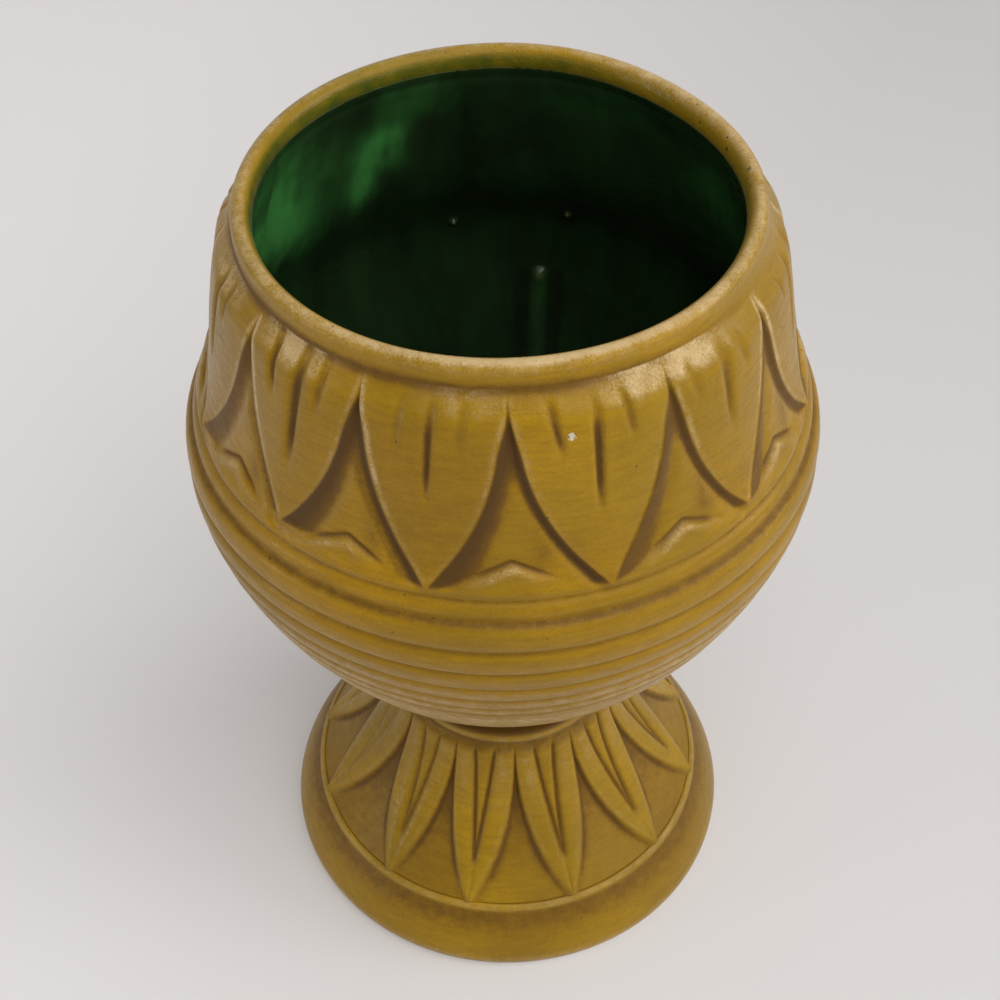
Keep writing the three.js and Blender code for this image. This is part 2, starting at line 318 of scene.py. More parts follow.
class TurnedBody:
    """Joins bands into one closed mesh with masks for its finish."""

    def __init__(self, name: str, zones: Sequence[Zone], is_loop: bool = False) -> None:
        """Keeps the bands, from the first row to the last.

        Args:
            name: the piece's name.
            zones: the bands in order; a band's first row joins the last row before it.
            is_loop: whether the last row joins the first one.
        """
        self.name = name
        self.zones = list(zones)
        self.is_loop = is_loop

    def build(self) -> bpy.types.Object:
        """Makes the mesh and links it to the scene.

        Returns:
            The new object, smooth all over.
        """
        faces: list[tuple[int, ...]] = []
        firsts = np.cumsum([0] + [zone.turn.size for zone in self.zones])
        for first, zone in zip(firsts, self.zones):
            faces += self._zone_faces(int(first), *zone.turn.shape)
        joins = list(zip(range(len(self.zones)), range(1, len(self.zones))))
        if self.is_loop:
            joins.append((len(self.zones) - 1, 0))
        for upper, lower in joins:
            faces += self._seam_faces(firsts, upper, lower)
        mesh = bpy.data.meshes.new(self.name)
        mesh.from_pydata(self._points().tolist(), [], faces)
        for mask in sorted({name for zone in self.zones for name in zone.masks}):
            parts = [zone.masks.get(mask, np.zeros_like(zone.turn)).ravel() for zone in self.zones]
            values = np.clip(np.concatenate(parts), 0.0, 1.0).astype(np.float32)
            mesh.attributes.new(mask, "FLOAT", "POINT").data.foreach_set("value", values)
        mesh.polygons.foreach_set("use_smooth", np.ones(len(mesh.polygons), dtype=bool))
        mesh.update()
        piece = bpy.data.objects.new(self.name, mesh)
        bpy.context.scene.collection.objects.link(piece)
        return piece

    def _points(self) -> Array:
        """Puts the points of all bands in one list.

        Returns:
            Rows of x, y and z.
        """
        turn = np.radians(np.concatenate([zone.turn.ravel() for zone in self.zones]))
        radius = np.concatenate([zone.radius.ravel() for zone in self.zones])
        level = np.concatenate([zone.level.ravel() for zone in self.zones])
        return np.stack([radius * np.sin(turn), -radius * np.cos(turn), level], axis=1)

    @staticmethod
    def _zone_faces(first: int, rows: int, columns: int) -> list[tuple[int, ...]]:
        """Faces inside a band.

        Args:
            first: number of the band's first point.
            rows: how many rows it has.
            columns: points in each row.

        Returns:
            The faces, each of four points.
        """
        if rows < 2:
            return []
        corner = first + np.arange(rows * columns).reshape(rows, columns)
        after = np.roll(corner, -1, axis=1)
        quads = np.stack([corner[:-1], corner[1:], after[1:], after[:-1]], axis=-1)
        return [tuple(quad) for quad in quads.reshape(-1, 4).tolist()]

    def _seam_faces(self, firsts: Array, upper: int, lower: int) -> list[tuple[int, ...]]:
        """Faces between the last row of one band and the first row of another.

        Args:
            firsts: number of each band's first point.
            upper: which band gives its last row.
            lower: which band gives its first row.

        Returns:
            The faces, paired by column or, where the rows differ, by angle.
        """
        top, low = self.zones[upper].turn[-1], self.zones[lower].turn[0]
        top_first = int(firsts[upper]) + self.zones[upper].turn.size - len(top)
        low_first = int(firsts[lower])

        def reach(turns: Array, step: int) -> float:
            """How far round the row a step lies.

            Args:
                turns: the row's angles.
                step: the step's number.

            Returns:
                Its angle from the row's start.
            """
            if len(turns) == 1 or step > len(turns):
                return math.inf
            return 360.0 if step == len(turns) else float(turns[step] - turns[0])

        faces: list[tuple[int, ...]] = []
        if len(top) == len(low) > 1:
            for i in range(len(top)):
                j = (i + 1) % len(top)
                faces.append((top_first + i, low_first + i, low_first + j, top_first + j))
            return faces
        i = j = 0
        while min(reach(top, i + 1), reach(low, j + 1)) < math.inf:
            here = (top_first + i % len(top), low_first + j % len(low))
            if reach(low, j + 1) <= reach(top, i + 1):
                j += 1
                faces.append((*here, low_first + j % len(low)))
            else:
                i += 1
                faces.append((*here, top_first + i % len(top)))
        return faces


def lifted(path: Array, normal: Array, lift: Array | float) -> Array:
    """Moves the points of a path off it.

    Args:
        path: rows of radius and level.
        normal: the outward direction at each row.
        lift: how far to move each row.

    Returns:
        The moved path.
    """
    return path + normal * np.reshape(lift, (-1, 1))


NEARBY = 0.1 * MM


@dataclass(frozen=True)
class BowlOutline:
    """The bowl's turned surface, under its petals and over its grooves, and its inside."""

    levels: Levels
    mouth_radius: float = 56.5 * MM
    lip_radius: float = 2.1 * MM
    lip_inset: float = 2.5 * MM
    lip_depth: float = 4.2 * MM
    lip_groove_drop: float = 5.1 * MM
    lip_groove_width: float = 1.5 * MM
    lip_groove_depth: float = 0.7 * MM
    lip_groove_tilt: float = 0.5 * MM
    lip_groove_low: float = 20.0
    lip_groove_end: Side = Side(74.0, 36.0, 0.85)
    collar_fall: float = 2.6 * MM
    shoulder_fall: float = 7.3 * MM
    shoulder_reach: float = 6.1 * MM
    waist_reach: float = 6.4 * MM
    petal_length: float = 44.9 * MM
    belly_fall: float = 18.9 * MM
    neck_radius: float = SpigotJoint.neck_radius
    neck_length: float = 12.2 * MM
    wall: float = 4.6 * MM
    wall_drop: float = 6 * MM
    wall_softening: int = 120
    floor_thickness: float = 5 * MM
    collar_place: float = 0.6
    collar_share: float = 0.25
    waist_share: float = 0.85
    swell_place: float = 0.4
    swell_share: float = 0.86
    under_fullness: float = 1.6
    under_roundness: float = 0.23
    turn_in_fullness: float = 4.0
    floor_share: float = 0.6

    @property
    def petal_top_drop(self) -> float:
        """Drop of the petals' tops."""
        return 2 * self.lip_radius + self.collar_fall

    @property
    def collar_drop(self) -> float:
        """Drop at which the lip ends and the carving begins."""
        return 2 * self.lip_radius + self.collar_place * self.collar_fall

    @property
    def petal_tip_drop(self) -> float:
        """Drop of the petals' tips."""
        return self.petal_top_drop + self.petal_length

    @property
    def belly_drop(self) -> float:
        """Drop of the belly's widest place."""
        return self.petal_tip_drop + self.belly_fall

    @property
    def neck_drop(self) -> float:
        """Drop at which the bowl meets its neck."""
        return self.levels.top - self.levels.seam - self.neck_length

    def _knots(self) -> Array:
        """Points that the upper outline passes through.

        Returns:
            Rows of drop and radius.
        """
        shoulder_drop = self.petal_top_drop + self.shoulder_fall
        shoulder = self.mouth_radius + self.shoulder_reach
        collar = mix(self.mouth_radius + self.lip_radius, shoulder, self.collar_share)
        waist = shoulder + self.waist_reach
        belly = self.levels.belly_radius
        tip, low = self.petal_tip_drop, self.belly_drop
        return np.array(
            [
                [self.collar_drop, collar],
                [shoulder_drop, shoulder],
                [mix(shoulder_drop, tip, self.waist_share), waist],
                [mix(tip, low, self.swell_place), mix(waist, belly, self.swell_share)],
                [low, belly],
            ]
        )

    def radius(self, drop: Array) -> Array:
        """Radius of the turned surface.

        Args:
            drop: drops from the collar down to the neck.

        Returns:
            The radius at each drop.
        """
        knots = self._knots()
        slopes = np.zeros(len(knots))
        slopes[0] = (knots[1, 1] - knots[0, 1]) / (knots[1, 0] - knots[0, 0])
        slopes[1:-1] = (knots[2:, 1] - knots[:-2, 1]) / (knots[2:, 0] - knots[:-2, 0])
        i = np.clip(np.searchsorted(knots[:, 0], drop) - 1, 0, len(knots) - 2)
        span = knots[i + 1, 0] - knots[i, 0]
        share = (drop - knots[i, 0]) / span
        ends = mix(knots[i, 1], knots[i + 1, 1], share * share * (3 - 2 * share))
        leaving = slopes[i] * share * (1 - share) ** 2
        arriving = slopes[i + 1] * share**2 * (share - 1)
        upper = ends + span * (leaving + arriving)
        down = np.clip((drop - self.belly_drop) / (self.neck_drop - self.belly_drop), 0, None)
        inward = mix(down**self.under_fullness, down**self.turn_in_fullness, self.under_roundness)
        under = mix(self.levels.belly_radius, self.neck_radius, inward)
        fillet = self.neck_length / 3
        over_neck = under - self.neck_radius
        overhang = self.levels.belly_radius - self.neck_radius
        excess = (math.hypot(overhang, fillet) - overhang) / 2
        lower = (under + self.neck_radius + np.hypot(over_neck, fillet)) / 2
        lower = lower - excess * over_neck / overhang
        return np.where(drop <= self.belly_drop, upper, lower)

    def path(self, drop: Array) -> Array:
        """The surface's points at some drops, as rows of radius and level."""
        return np.stack([self.radius(drop), self.levels.top - drop], axis=-1)

    def normal(self, drop: Array) -> Array:
        """The surface's outward direction at some drops, as rows of radius and level."""
        flare = (self.radius(drop + NEARBY) - self.radius(drop - NEARBY)) / (2 * NEARBY)
        return np.stack([np.ones_like(flare), flare], axis=-1) / np.hypot(1, flare)[..., None]

    def lip(self) -> Array:
        """The lip from just outside its crest to the collar.

        Returns:
            Rows of radius and level.
        """
        section = self.lip_radius
        turns = np.radians(np.linspace(80, 0, 10))
        roll = np.stack([np.cos(turns), np.sin(turns) - 1], axis=-1) * section
        roll += [self.mouth_radius, self.levels.top]
        drop = np.linspace(section, self.collar_drop, 14)[1:-1]
        start, span = self.mouth_radius + section, self.collar_drop - section
        collar = self.path(np.array([self.collar_drop, self.collar_drop + NEARBY]))
        slope = (collar[1, 0] - collar[0, 0]) / NEARBY
        share = (drop - section) / span
        radius = mix(start, collar[0, 0], ease(share)) + slope * span * share**2 * (share - 1)
        return np.concatenate([roll, np.stack([radius, self.levels.top - drop], axis=-1)])

    def lip_groove(self, drop: Array, turn: Array) -> Array:
        """The soft groove under the lip, which runs out on the right.

        Args:
            drop: drops.
            turn: angles.

        Returns:
            Its share of its full depth.
        """
        kept = 1 - self.lip_groove_end.at(turn)
        low = self.lip_groove_drop + self.lip_groove_tilt * np.cos(np.radians(turn - self.lip_groove_low))
        return kept * swell(drop - low, self.lip_groove_width)

    def cavity(self) -> tuple[Array, Array]:
        """The bowl's inside, from the lip's crest to the middle of the floor.

        Returns:
            Closely spaced rows of radius and level, and the way into the hollow at each.
        """
        bend = np.radians(np.linspace(0, 90, 30))[:, None]
        crest = np.array([self.mouth_radius, self.levels.top])
        roll = crest - np.hstack([self.lip_inset * np.sin(bend), self.lip_depth * (1 - np.cos(bend))])
        drop = np.linspace(self.wall_drop, self.neck_drop - 2 * self.neck_length, 160)
        wall = lifted(self.path(drop), self.normal(drop), -self.wall)
        for _ in range(self.wall_softening):
            wall[1:-1] = (wall[:-2] + 2 * wall[1:-1] + wall[2:]) / 4
        throat = self._bend(roll[-1], [roll[-1][0], mix(roll[-1][1], wall[0][1], 0.45)], wall[0])
        floor_level = self.levels.seam + self.floor_thickness
        last, way = wall[-1], self.normal(drop)[-1]
        corner = last[0] + (last[1] - floor_level) * way[1] / way[0]
        floor_edge = [self.floor_share * corner, floor_level]
        heel = self._bend(last, [corner, floor_level], floor_edge)
        path = np.concatenate([roll, throat, wall, heel, [[0.0, floor_level]]])
        along = np.gradient(path, axis=0)
        along /= np.hypot(along[:, 0], along[:, 1])[:, None]
        return path, np.stack([along[:, 1], -along[:, 0]], axis=-1)

    @staticmethod
    def _bend(start: Array, pull: Sequence[float], end: Sequence[float]) -> Array:
        """A bend that leaves start and reaches end on the lines to the pull.

        Args:
            start: the point before the bend.
            pull: where the two lines meet.
            end: the point after it.

        Returns:
            The points inside the bend.
        """
        t = np.linspace(0, 1, 26)[1:-1, None]
        ends = np.array([start, pull, end])
        return (1 - t) ** 2 * ends[0] + 2 * t * (1 - t) * ends[1] + t**2 * ends[2]


def along_path(path: Array, *others: Array, count: int, spots: Sequence[Spot] = ()) -> list[Array]:
    """Picks points along a path by their distance from its start.

    Args:
        path: rows of radius and level.
        others: more rows of values for the same points.
        count: how many points.
        spots: distances round which the points crowd.

    Returns:
        The picked distances, then the points, then the other values there.
    """
    steps = np.hypot(*np.diff(path, axis=0).T)
    far = np.concatenate([[0.0], np.cumsum(steps)])
    picked = crowded(count, 0.0, far[-1], spots)
    rows = [np.stack([np.interp(picked, far, v) for v in part.T], -1) for part in (path, *others)]
    return [picked, *rows]


@dataclass(frozen=True)
class Stroke:
    """One flute drawn down a petal: angles from its middle, drops and depth in millimetres."""

    start: float
    end: float
    top: float
    low: float
    width: float
    depth: float
    wash: float

    def share(self, local: Array, drop: Array) -> Array:
        """How deep the stroke is cut, as a share of its deepest.

        Args:
            local: angles from the petal's middle.
            drop: drops, in millimetres.

        Returns:
            1 in the stroke, 0 away from it, and a little less than 0 on its raised sides.
        """
        down = (drop - self.top) / (self.low - self.top)
        place = mix(self.start, self.end, np.clip(down, 0, 1))
        along = ease((down + 0.2) / 0.42) * ease((1.08 - down) / 0.45)
        narrowing = mix(1.15, 0.7, np.clip(down, 0, 1))
        across = (local - place) / (self.width * narrowing)
        return (1.3 * np.exp(-(across**2)) - 0.3 * np.exp(-((across / 2.4) ** 2))) * along


@dataclass(frozen=True)
class PetalHand:
    """How one petal and the recess after it came out.

    Shifts off the even layout are in degrees, and the tip's fall is in millimetres. The shade fields are
    painted shade over the petal, and the crown's pale is partly wear and partly a painted highlight.
    """

    top_shift: float
    tip_shift: float
    tip_fall: float
    recess_top: float
    recess_tip: float
    left_rub: float
    right_rub: float
    # Pale over the petal's top: partly wear, partly a painted highlight.
    crown_wear_and_highlight: float
    crown_place: float
    recess_dark: float
    recess_spread: float
    # Painted shade over the petal, high and low.
    high_shade: float
    low_shade: float
    strokes: tuple[Stroke, ...]

    @classmethod
    def drawn(cls, dice: np.random.Generator) -> "PetalHand":
        """Draws a petal for the side that the photograph doesn't show.

        Args:
            dice: gives its chances.

        Returns:
            The petal.
        """
        lean = dice.uniform(-1.4, 1.4)
        middle = Stroke(
            lean, -lean, 9, dice.uniform(28, 35), dice.uniform(0.8, 1.15), dice.uniform(0.6, 0.9), 0.85
        )
        sides = tuple(
            Stroke(
                side * dice.uniform(5.2, 7.5),
                side * dice.uniform(5.0, 6.8),
                8.5,
                dice.uniform(14, 19),
                dice.uniform(0.7, 1.0),
                dice.uniform(0.3, 0.6),
                dice.uniform(0.25, 0.75),
            )
            for side in (-1, 1)
        )
        shifts = dice.uniform(-0.9, 0.9, 5).tolist()
        rubs = [dice.uniform(0.15, 0.7), dice.uniform(0.1, 0.45), dice.uniform(0.1, 0.6)]
        rubs.append(dice.uniform(-8, 8))
        # Random painted shade, high and low on the petal.
        shades = dice.uniform(0.02, 0.2, 2).tolist()
        recess = [dice.uniform(0.65, 1.0), dice.uniform(0.0, 1.5)]
        return cls(*shifts, *rubs, *recess, *shades, (middle, *sides))


# On these petals the shade fields paint shade on the petals that face away from the light, and the crown
# paints a highlight over wear.
SEEN_PETALS = {
    10: PetalHand(
        top_shift=0.4, tip_shift=0.2, tip_fall=-1.5, recess_top=2.0, recess_tip=0.7,
        left_rub=0.6, right_rub=0.35, crown_wear_and_highlight=0.5, crown_place=2.0,
        recess_dark=0.75, recess_spread=1.6, high_shade=0.12, low_shade=0.15,
        strokes=(Stroke(0.6, -0.6, 8, 32, 1.0, 0.8, 0.8), Stroke(5.6, 5.2, 7, 17, 0.9, 0.6, 0.5)),
    ),
    11: PetalHand(
        top_shift=0.7, tip_shift=0.1, tip_fall=-2.3, recess_top=0.4, recess_tip=-0.8,
        left_rub=0.8, right_rub=0.2, crown_wear_and_highlight=0.85, crown_place=-1.0,
        recess_dark=1.0, recess_spread=2.0, high_shade=0.14, low_shade=0.14,
        strokes=(
            Stroke(2.4, 0.2, 7.0, 36, 1.3, 1.1, 0.85),
            Stroke(-5.4, -4.6, 6.0, 20, 1.0, 1.0, 0.75),
            Stroke(7.6, 6.4, 6.0, 18, 1.0, 0.9, 0.5),
        ),
    ),
    0: PetalHand(
        top_shift=0.6, tip_shift=-0.4, tip_fall=0.0, recess_top=-1.2, recess_tip=-0.8,
        left_rub=0.6, right_rub=0.2, crown_wear_and_highlight=0.14, crown_place=6.0,
        recess_dark=1.0, recess_spread=0.4, high_shade=0.08, low_shade=0.25,
        strokes=(
            Stroke(-0.4, -1.0, 9, 32, 0.85, 0.8, 0.85),
            Stroke(-6.1, -7.1, 8, 20, 1.0, 0.5, 0.3),
            Stroke(5.6, 4.4, 8.5, 20, 1.0, 0.5, 0.3),
        ),
    ),
    1: PetalHand(
        top_shift=-0.1, tip_shift=0.9, tip_fall=0.5, recess_top=0.2, recess_tip=1.3,
        left_rub=0.15, right_rub=0.06, crown_wear_and_highlight=0.65, crown_place=10.0,
        recess_dark=0.8, recess_spread=0.0, high_shade=0.0, low_shade=0.0,
        strokes=(
            Stroke(0.1, 0.2, 10, 35, 0.9, 0.85, 0.9),
            Stroke(-8.6, -6.3, 7.5, 20, 0.85, 0.7, 0.7),
            Stroke(5.6, 7.1, 8, 19, 0.9, 0.6, 0.5),
        ),
    ),
    2: PetalHand(
        top_shift=0.1, tip_shift=0.9, tip_fall=-1.0, recess_top=-1.8, recess_tip=-1.4,
        left_rub=0.2, right_rub=0.55, crown_wear_and_highlight=0.8, crown_place=-9.0,
        recess_dark=0.75, recess_spread=0.8, high_shade=0.1, low_shade=0.12,
        strokes=(
            Stroke(-1.2, -0.3, 9, 30, 1.25, 0.75, 0.55),
            Stroke(-9.9, -8.1, 8.5, 18, 1.1, 0.5, 0.3),
            Stroke(3.4, 5.2, 8.5, 18, 1.1, 0.5, 0.3),
        ),
    ),
}


@dataclass
class Bowl:
    """The cast and carved bowl, with its lip, petals, chevrons and turned rings."""

    levels: Levels
    outline: BowlOutline
    joint: SpigotJoint = SpigotJoint()
    turn: float = BOWL_TURN
    petal_count: int = 12
    petal_seed: int = 12
    petal_fullness: float = 2.2
    petal_height: float = 1.6 * MM
    petal_crown: float = 0.45 * MM
    petal_rise: float = 6 * MM
    petal_gap: float = 0.15
    petal_part: float = 1.6
    long_wall: float = 3.9
    short_wall: float = 1.6
    long_share: float = 0.65
    dart_height: float = 0.8 * MM
    dart_width: float = 5.6
    chevron_peak: float = 6.7 * MM
    chevron_rise: float = 4.6 * MM
    chevron_spread: float = 8.0
    chevron_curve: float = 0.85
    chevron_round: float = 0.7
    chevron_height: float = 1.15 * MM
    chevron_swell: float = 0.6 * MM
    chevron_cut: float = 0.5 * MM
    chevron_line: float = 0.7 * MM
    tip_groove_fall: float = 2.1 * MM
    tip_groove_width: float = 0.6 * MM
    tip_groove_depth: float = 0.45 * MM
    ring_start: float = 6.5 * MM
    ring_count: int = 7
    ring_pitch: float = 9 * MM
    pitch_ratio: float = 0.88
    ring_depth: float = 1.05 * MM
    ring_width: float = 1.35 * MM
    ring_fade: float = 0.86
    ring_crown: float = 0.35 * MM
    ring_wash: float = 0.5
    first_ring_wash: float = 0.6
    belly_veil: float = 0.14
    # Darker towards the bottom of the belly, ring by ring, and towards the neck.
    low_belly_darkening: float = 0.32
    # Rubbed pale ring crests, stronger on the sides, where it paints a sheen.
    low_belly_wear_and_sheen: float = 0.5
    recess_veil: float = 0.12
    # Darker towards the petals' tips.
    tip_darkening: float = 0.22
    # Pale on the chevron shelves: wear and a painted highlight.
    shelf_wear_and_highlight: float = 0.38
    flecked: Side = Side(106.0, 17.0)
    thin: Side = Side(114.0, 48.0, 0.6)
    stained: Side = Side(-152.0, 46.0, 0.5)
    lip_worn: float = 0.42
    worn_front: Side = Side(10.0, 46.0, 0.5)
    worn_back: Side = Side(132.0, 34.0, 0.3)
    spared_left: Side = Side(-85.0, 40.0, 0.1)
    worn_reach: float = 1.1 * MM
    widest_reach: float = 3.4 * MM
    wide_back: Side = Side(132.0, 34.0)
    wide_left: Side = Side(-88.0, 30.0, 0.4)
    groove_wash: float = 0.7
    petal_columns: int = 32
    carved_rows: int = 79
    ringed_rows: int = 84
    columns: int = 240
    low_columns: int = 120
    hidden_columns: int = 96
    hand: HandTurning = BOWL_HAND

    def __post_init__(self) -> None:
        """Draws the petals that the photograph doesn't show."""
        dice = np.random.default_rng(self.petal_seed)
        drawn = [PetalHand.drawn(dice) for _ in range(self.petal_count)]
        self.petals = [SEEN_PETALS.get(number, petal) for number, petal in enumerate(drawn)]

    def build(self) -> bpy.types.Object:
        """Makes the bowl's mesh.

        Returns:
            The bowl as one closed piece.
        """
        zones = [
            *self._inside(),
            self._lip(),
            self._carved(),
            self._ringed(),
            self._under(),
            *self._spigot(),
        ]
        return TurnedBody("carved_bowl", zones).build()

    def _inside(self) -> list[Zone]:
        """The clay behind the glaze, and the glazed inner half of the lip up to its crest.

        Returns:
            The bands, from the middle of the floor to the crest.
        """
        path, _ = self.outline.cavity()
        far, rows = along_path(path, count=64, spots=[Spot(0.0, 7 * MM, 9.0)])
        glazed = ease((far - 0.4 * MM) / (3.4 * MM))
        split = int(np.searchsorted(far, 12 * MM))
        high = Zone.turned(rows[:split], self.columns, self.turn, glazed=glazed[:split])
        turn, deep = high.turn, far[:split, None]
        wide = self.wide_back.at(turn) + self.wide_left.at(turn)
        reach = mix(self.worn_reach, self.widest_reach, wide)
        high.masks["worn"] = self._lip_rub(turn) * (1 - ease(deep / reach))
        high.masks["glazed"] = np.maximum(high.masks["glazed"], self.stained.at(turn))
        high.masks["glazed"] *= 1 - self.thin.at(turn)
        high.masks["flecked"] = self.flecked.at(turn) * between(deep, 0.8 * MM, 3.6 * MM, 1.2 * MM)
        low = Zone.turned(rows[split:-1], self.hidden_columns, self.turn, glazed=1.0)
        middle = Zone.turned(rows[-1:], 1, self.turn, glazed=1.0)
        return [zone.roughened(self.hand).upside_down() for zone in (middle, low, high)]

    def _lip(self) -> Zone:
        """The outer half of the rolled lip, and the soft groove under it.

        Returns:
            The band, from the crest to the collar.
        """
        outline = self.outline
        path = outline.lip()
        drop = self.levels.top - path[:, 1]
        crest = 1 - ease(drop / (0.5 * outline.lip_radius))
        worn = np.maximum(crest, 0.2 * (1 - ease(drop / (1.8 * outline.lip_radius))))
        zone = Zone.turned(path, self.columns, self.turn, worn=worn)
        zone.masks["glazed"] = self.stained.at(zone.turn) * crest[:, None]
        zone.radius -= outline.lip_groove_depth * outline.lip_groove(drop[:, None], zone.turn)
        zone.masks["wash"] = self.groove_wash * outline.lip_groove(drop[:, None] - 0.2 * MM, zone.turn)
        zone.masks["worn"] *= self._lip_rub(zone.turn)
        return zone.roughened(self.hand)

    def _lip_rub(self, turn: Array) -> Array:
        """How much of the lip's colour is rubbed off round its crest."""
        more = self.lip_worn + self.worn_front.at(turn) + self.worn_back.at(turn)
        return more - self.spared_left.at(turn)

    @staticmethod
    def _pale_kept_behind(turn: Array) -> Array:
        """Share of the rubbed crests and the painted side sheen on the lower belly, which is less behind.
        """
        return 1 - 0.5 * ease((np.abs(turned_from(turn, 0.0)) - 105) / 45)

    def _carved(self) -> Zone:
        """The petals, with the darts and chevrons between them.

        Returns:
            The band, from the collar to just under the petals' tips.
        """
        outline = self.outline
        tip = outline.petal_tip_drop
        spots = [
            Spot(outline.petal_top_drop, 1.6 * MM, 1.0),
            Spot(tip - self.chevron_peak + 2 * MM, 3.6 * MM, 1.8),
            Spot(tip, 1.8 * MM, 1.2),
        ]
        rows = crowded(self.carved_rows, outline.collar_drop, tip + 2.6 * MM, spots)
        cells = [self._cell(number, rows[:, None]) for number in range(self.petal_count)]
        turn, lift, wash, worn = (np.concatenate(part, axis=1) for part in zip(*cells))
        path = outline.path(rows)
        normal = outline.normal(rows)
        groove = outline.lip_groove_depth * outline.lip_groove(rows[:, None], turn)
        radius = path[:, :1] + lift * normal[:, :1] - groove
        level = path[:, 1:] + lift * normal[:, 1:]
        wash = np.maximum(wash, self.groove_wash * outline.lip_groove(rows[:, None] - 0.2 * MM, turn))
        return Zone(turn, radius, level, {"wash": wash, "worn": worn}).roughened(self.hand)

    def _cell(self, number: int, drop: Array) -> tuple[Array, Array, Array, Array]:
        """The carving from one petal's middle line to the next one's.

        Args:
            number: which petal, counted from the one left of the front.
            drop: drops, as a column.

        Returns:
            Angle, height over the turned surface, brown wash with painted shade, and rubbed colour with
            painted highlights.
        """
        share = 360.0 / self.petal_count
        here, after = self.petals[number], self.petals[(number + 1) % self.petal_count]
        middle = self.turn + share * number
        top = self.outline.petal_top_drop
        along = np.clip((drop - top) / self.outline.petal_length, 0, 1)
        left = middle + mix(here.top_shift, here.tip_shift, along)
        valley = middle + share / 2 + mix(here.recess_top, here.recess_tip, along)
        right = middle + share + mix(after.top_shift, after.tip_shift, along)
        gap = self.petal_gap + self.petal_part * ease((drop - top) / (13 * MM))
        halves = []
        for reach, petal in ((valley - left, here), (right - valley, after)):
            down = np.clip((drop - top) / (self.outline.petal_length + petal.tip_fall * MM), 0, 1)
            halves.append((reach - gap) * (1 - down**self.petal_fullness))
        near = self._places(valley - left, halves[0], drop)
        far = self._places(right - valley, halves[1], drop)
        turn = np.concatenate([left + near, (right - far[:, ::-1])[:, 1:-1]], axis=1)
        x, y = turn - left - halves[0], right - turn - halves[1]
        is_here = turn <= valley
        local = np.where(is_here, turn - middle, turn - middle - share)
        half = np.where(is_here, halves[0], halves[1])
        fall = np.where(is_here, here.tip_fall, after.tip_fall) * MM
        petal_cut, petal_wash = self._strokes(local, drop, is_here, here, after)
        out = np.minimum(x, y)
        high, wall = self._walls(x, y)
        tip = self.outline.petal_tip_drop
        rise = ease((drop - top + 0.5 * MM) / self.petal_rise)
        end = 1 - ease((drop - tip - fall) / (1.1 * self.petal_height))
        inside = 1 - ease(out / 0.8)
        crown = self.petal_crown * np.clip(1 + out / np.maximum(half, 1.0), 0, 1) ** 3 * ease(half / 4)
        petal = self.petal_height * high - crown * inside
        recess, mark, dart, under = self._recess(turn - valley, x, y, drop, here.recess_spread)
        cut = petal_cut * inside * ease((drop - top + 1.2 * MM) / (4.5 * MM)) * end
        lift = petal * rise * end + recess * (1 - high) - cut
        lift = lift - self._tip_groove(drop)

        beyond = ease((under + 0.3 * MM) / (1.2 * MM))
        deep = 1 - ease((drop - tip - fall + 1 * MM) / (2 * MM))
        deep = deep * ease((drop - top - 1.2 * MM) / (5.5 * MM))
        wash = here.recess_dark * wall * (1 - dart) * deep * (1 - 0.6 * beyond)
        patch = swell(turn - valley - 5.4, 2.3) * between(drop, 37 * MM, 44 * MM, 5 * MM)
        wash = np.maximum(wash, (0.1 + 0.35 * patch) * dart * deep * (1 - beyond))
        wash = np.maximum(wash, 0.8 * mark * ease(out / 0.8))
        wash = np.maximum(wash, petal_wash * inside)
        # Painted shade over the petal, from its top down to its lower part, then darker towards the tips.
        high_shade = np.where(is_here, here.high_shade, after.high_shade)
        low_shade = np.where(is_here, here.low_shade, after.low_shade)
        darkening = mix(high_shade, low_shade, ease((drop - top) / (18 * MM)))
        darkening = np.maximum(darkening, self.tip_darkening * ease((drop - 32 * MM) / (12 * MM)))
        wash = np.maximum(wash, mix(self.recess_veil, darkening, inside))
        wash = np.maximum(wash, 0.5 * self._tip_groove(drop) / self.tip_groove_depth)

        upper = 1 - ease((drop - 24 * MM) / (14 * MM))
        rubbed = after.left_rub * swell(y + 0.45, 0.5) * mix(0.3, 1, upper)
        rubbed = np.maximum(rubbed, here.right_rub * swell(x + 0.35, 0.4) * mix(0.3, 1, upper))
        # Pale crown on the petal's top and the collar: partly wear, partly a painted highlight.
        crown_wear_and_highlight = np.where(is_here, here.crown_wear_and_highlight, after.crown_wear_and_highlight)
        ridge = np.clip(1 - petal_cut / (0.4 * MM), 0, 1)
        crown_place = np.where(is_here, here.crown_place, after.crown_place)
        crown = crown_wear_and_highlight * swell(local - crown_place, 7.0) * ridge * inside
        crown = crown * between(drop - top, -1.2 * MM, 2.2 * MM, 2.6 * MM)
        worn = np.maximum(rubbed * ease((drop - top + 1 * MM) / (2 * MM)) * end, crown)
        # Pale on the chevron's shelf: wear and a painted highlight.
        shelf = swell(under - 1.7 * MM, 0.9 * MM) * ease(out / 0.8) * swell(turn - valley + 1.5, 4.0)
        return turn, lift, wash, np.maximum(worn, self.shelf_wear_and_highlight * shelf)

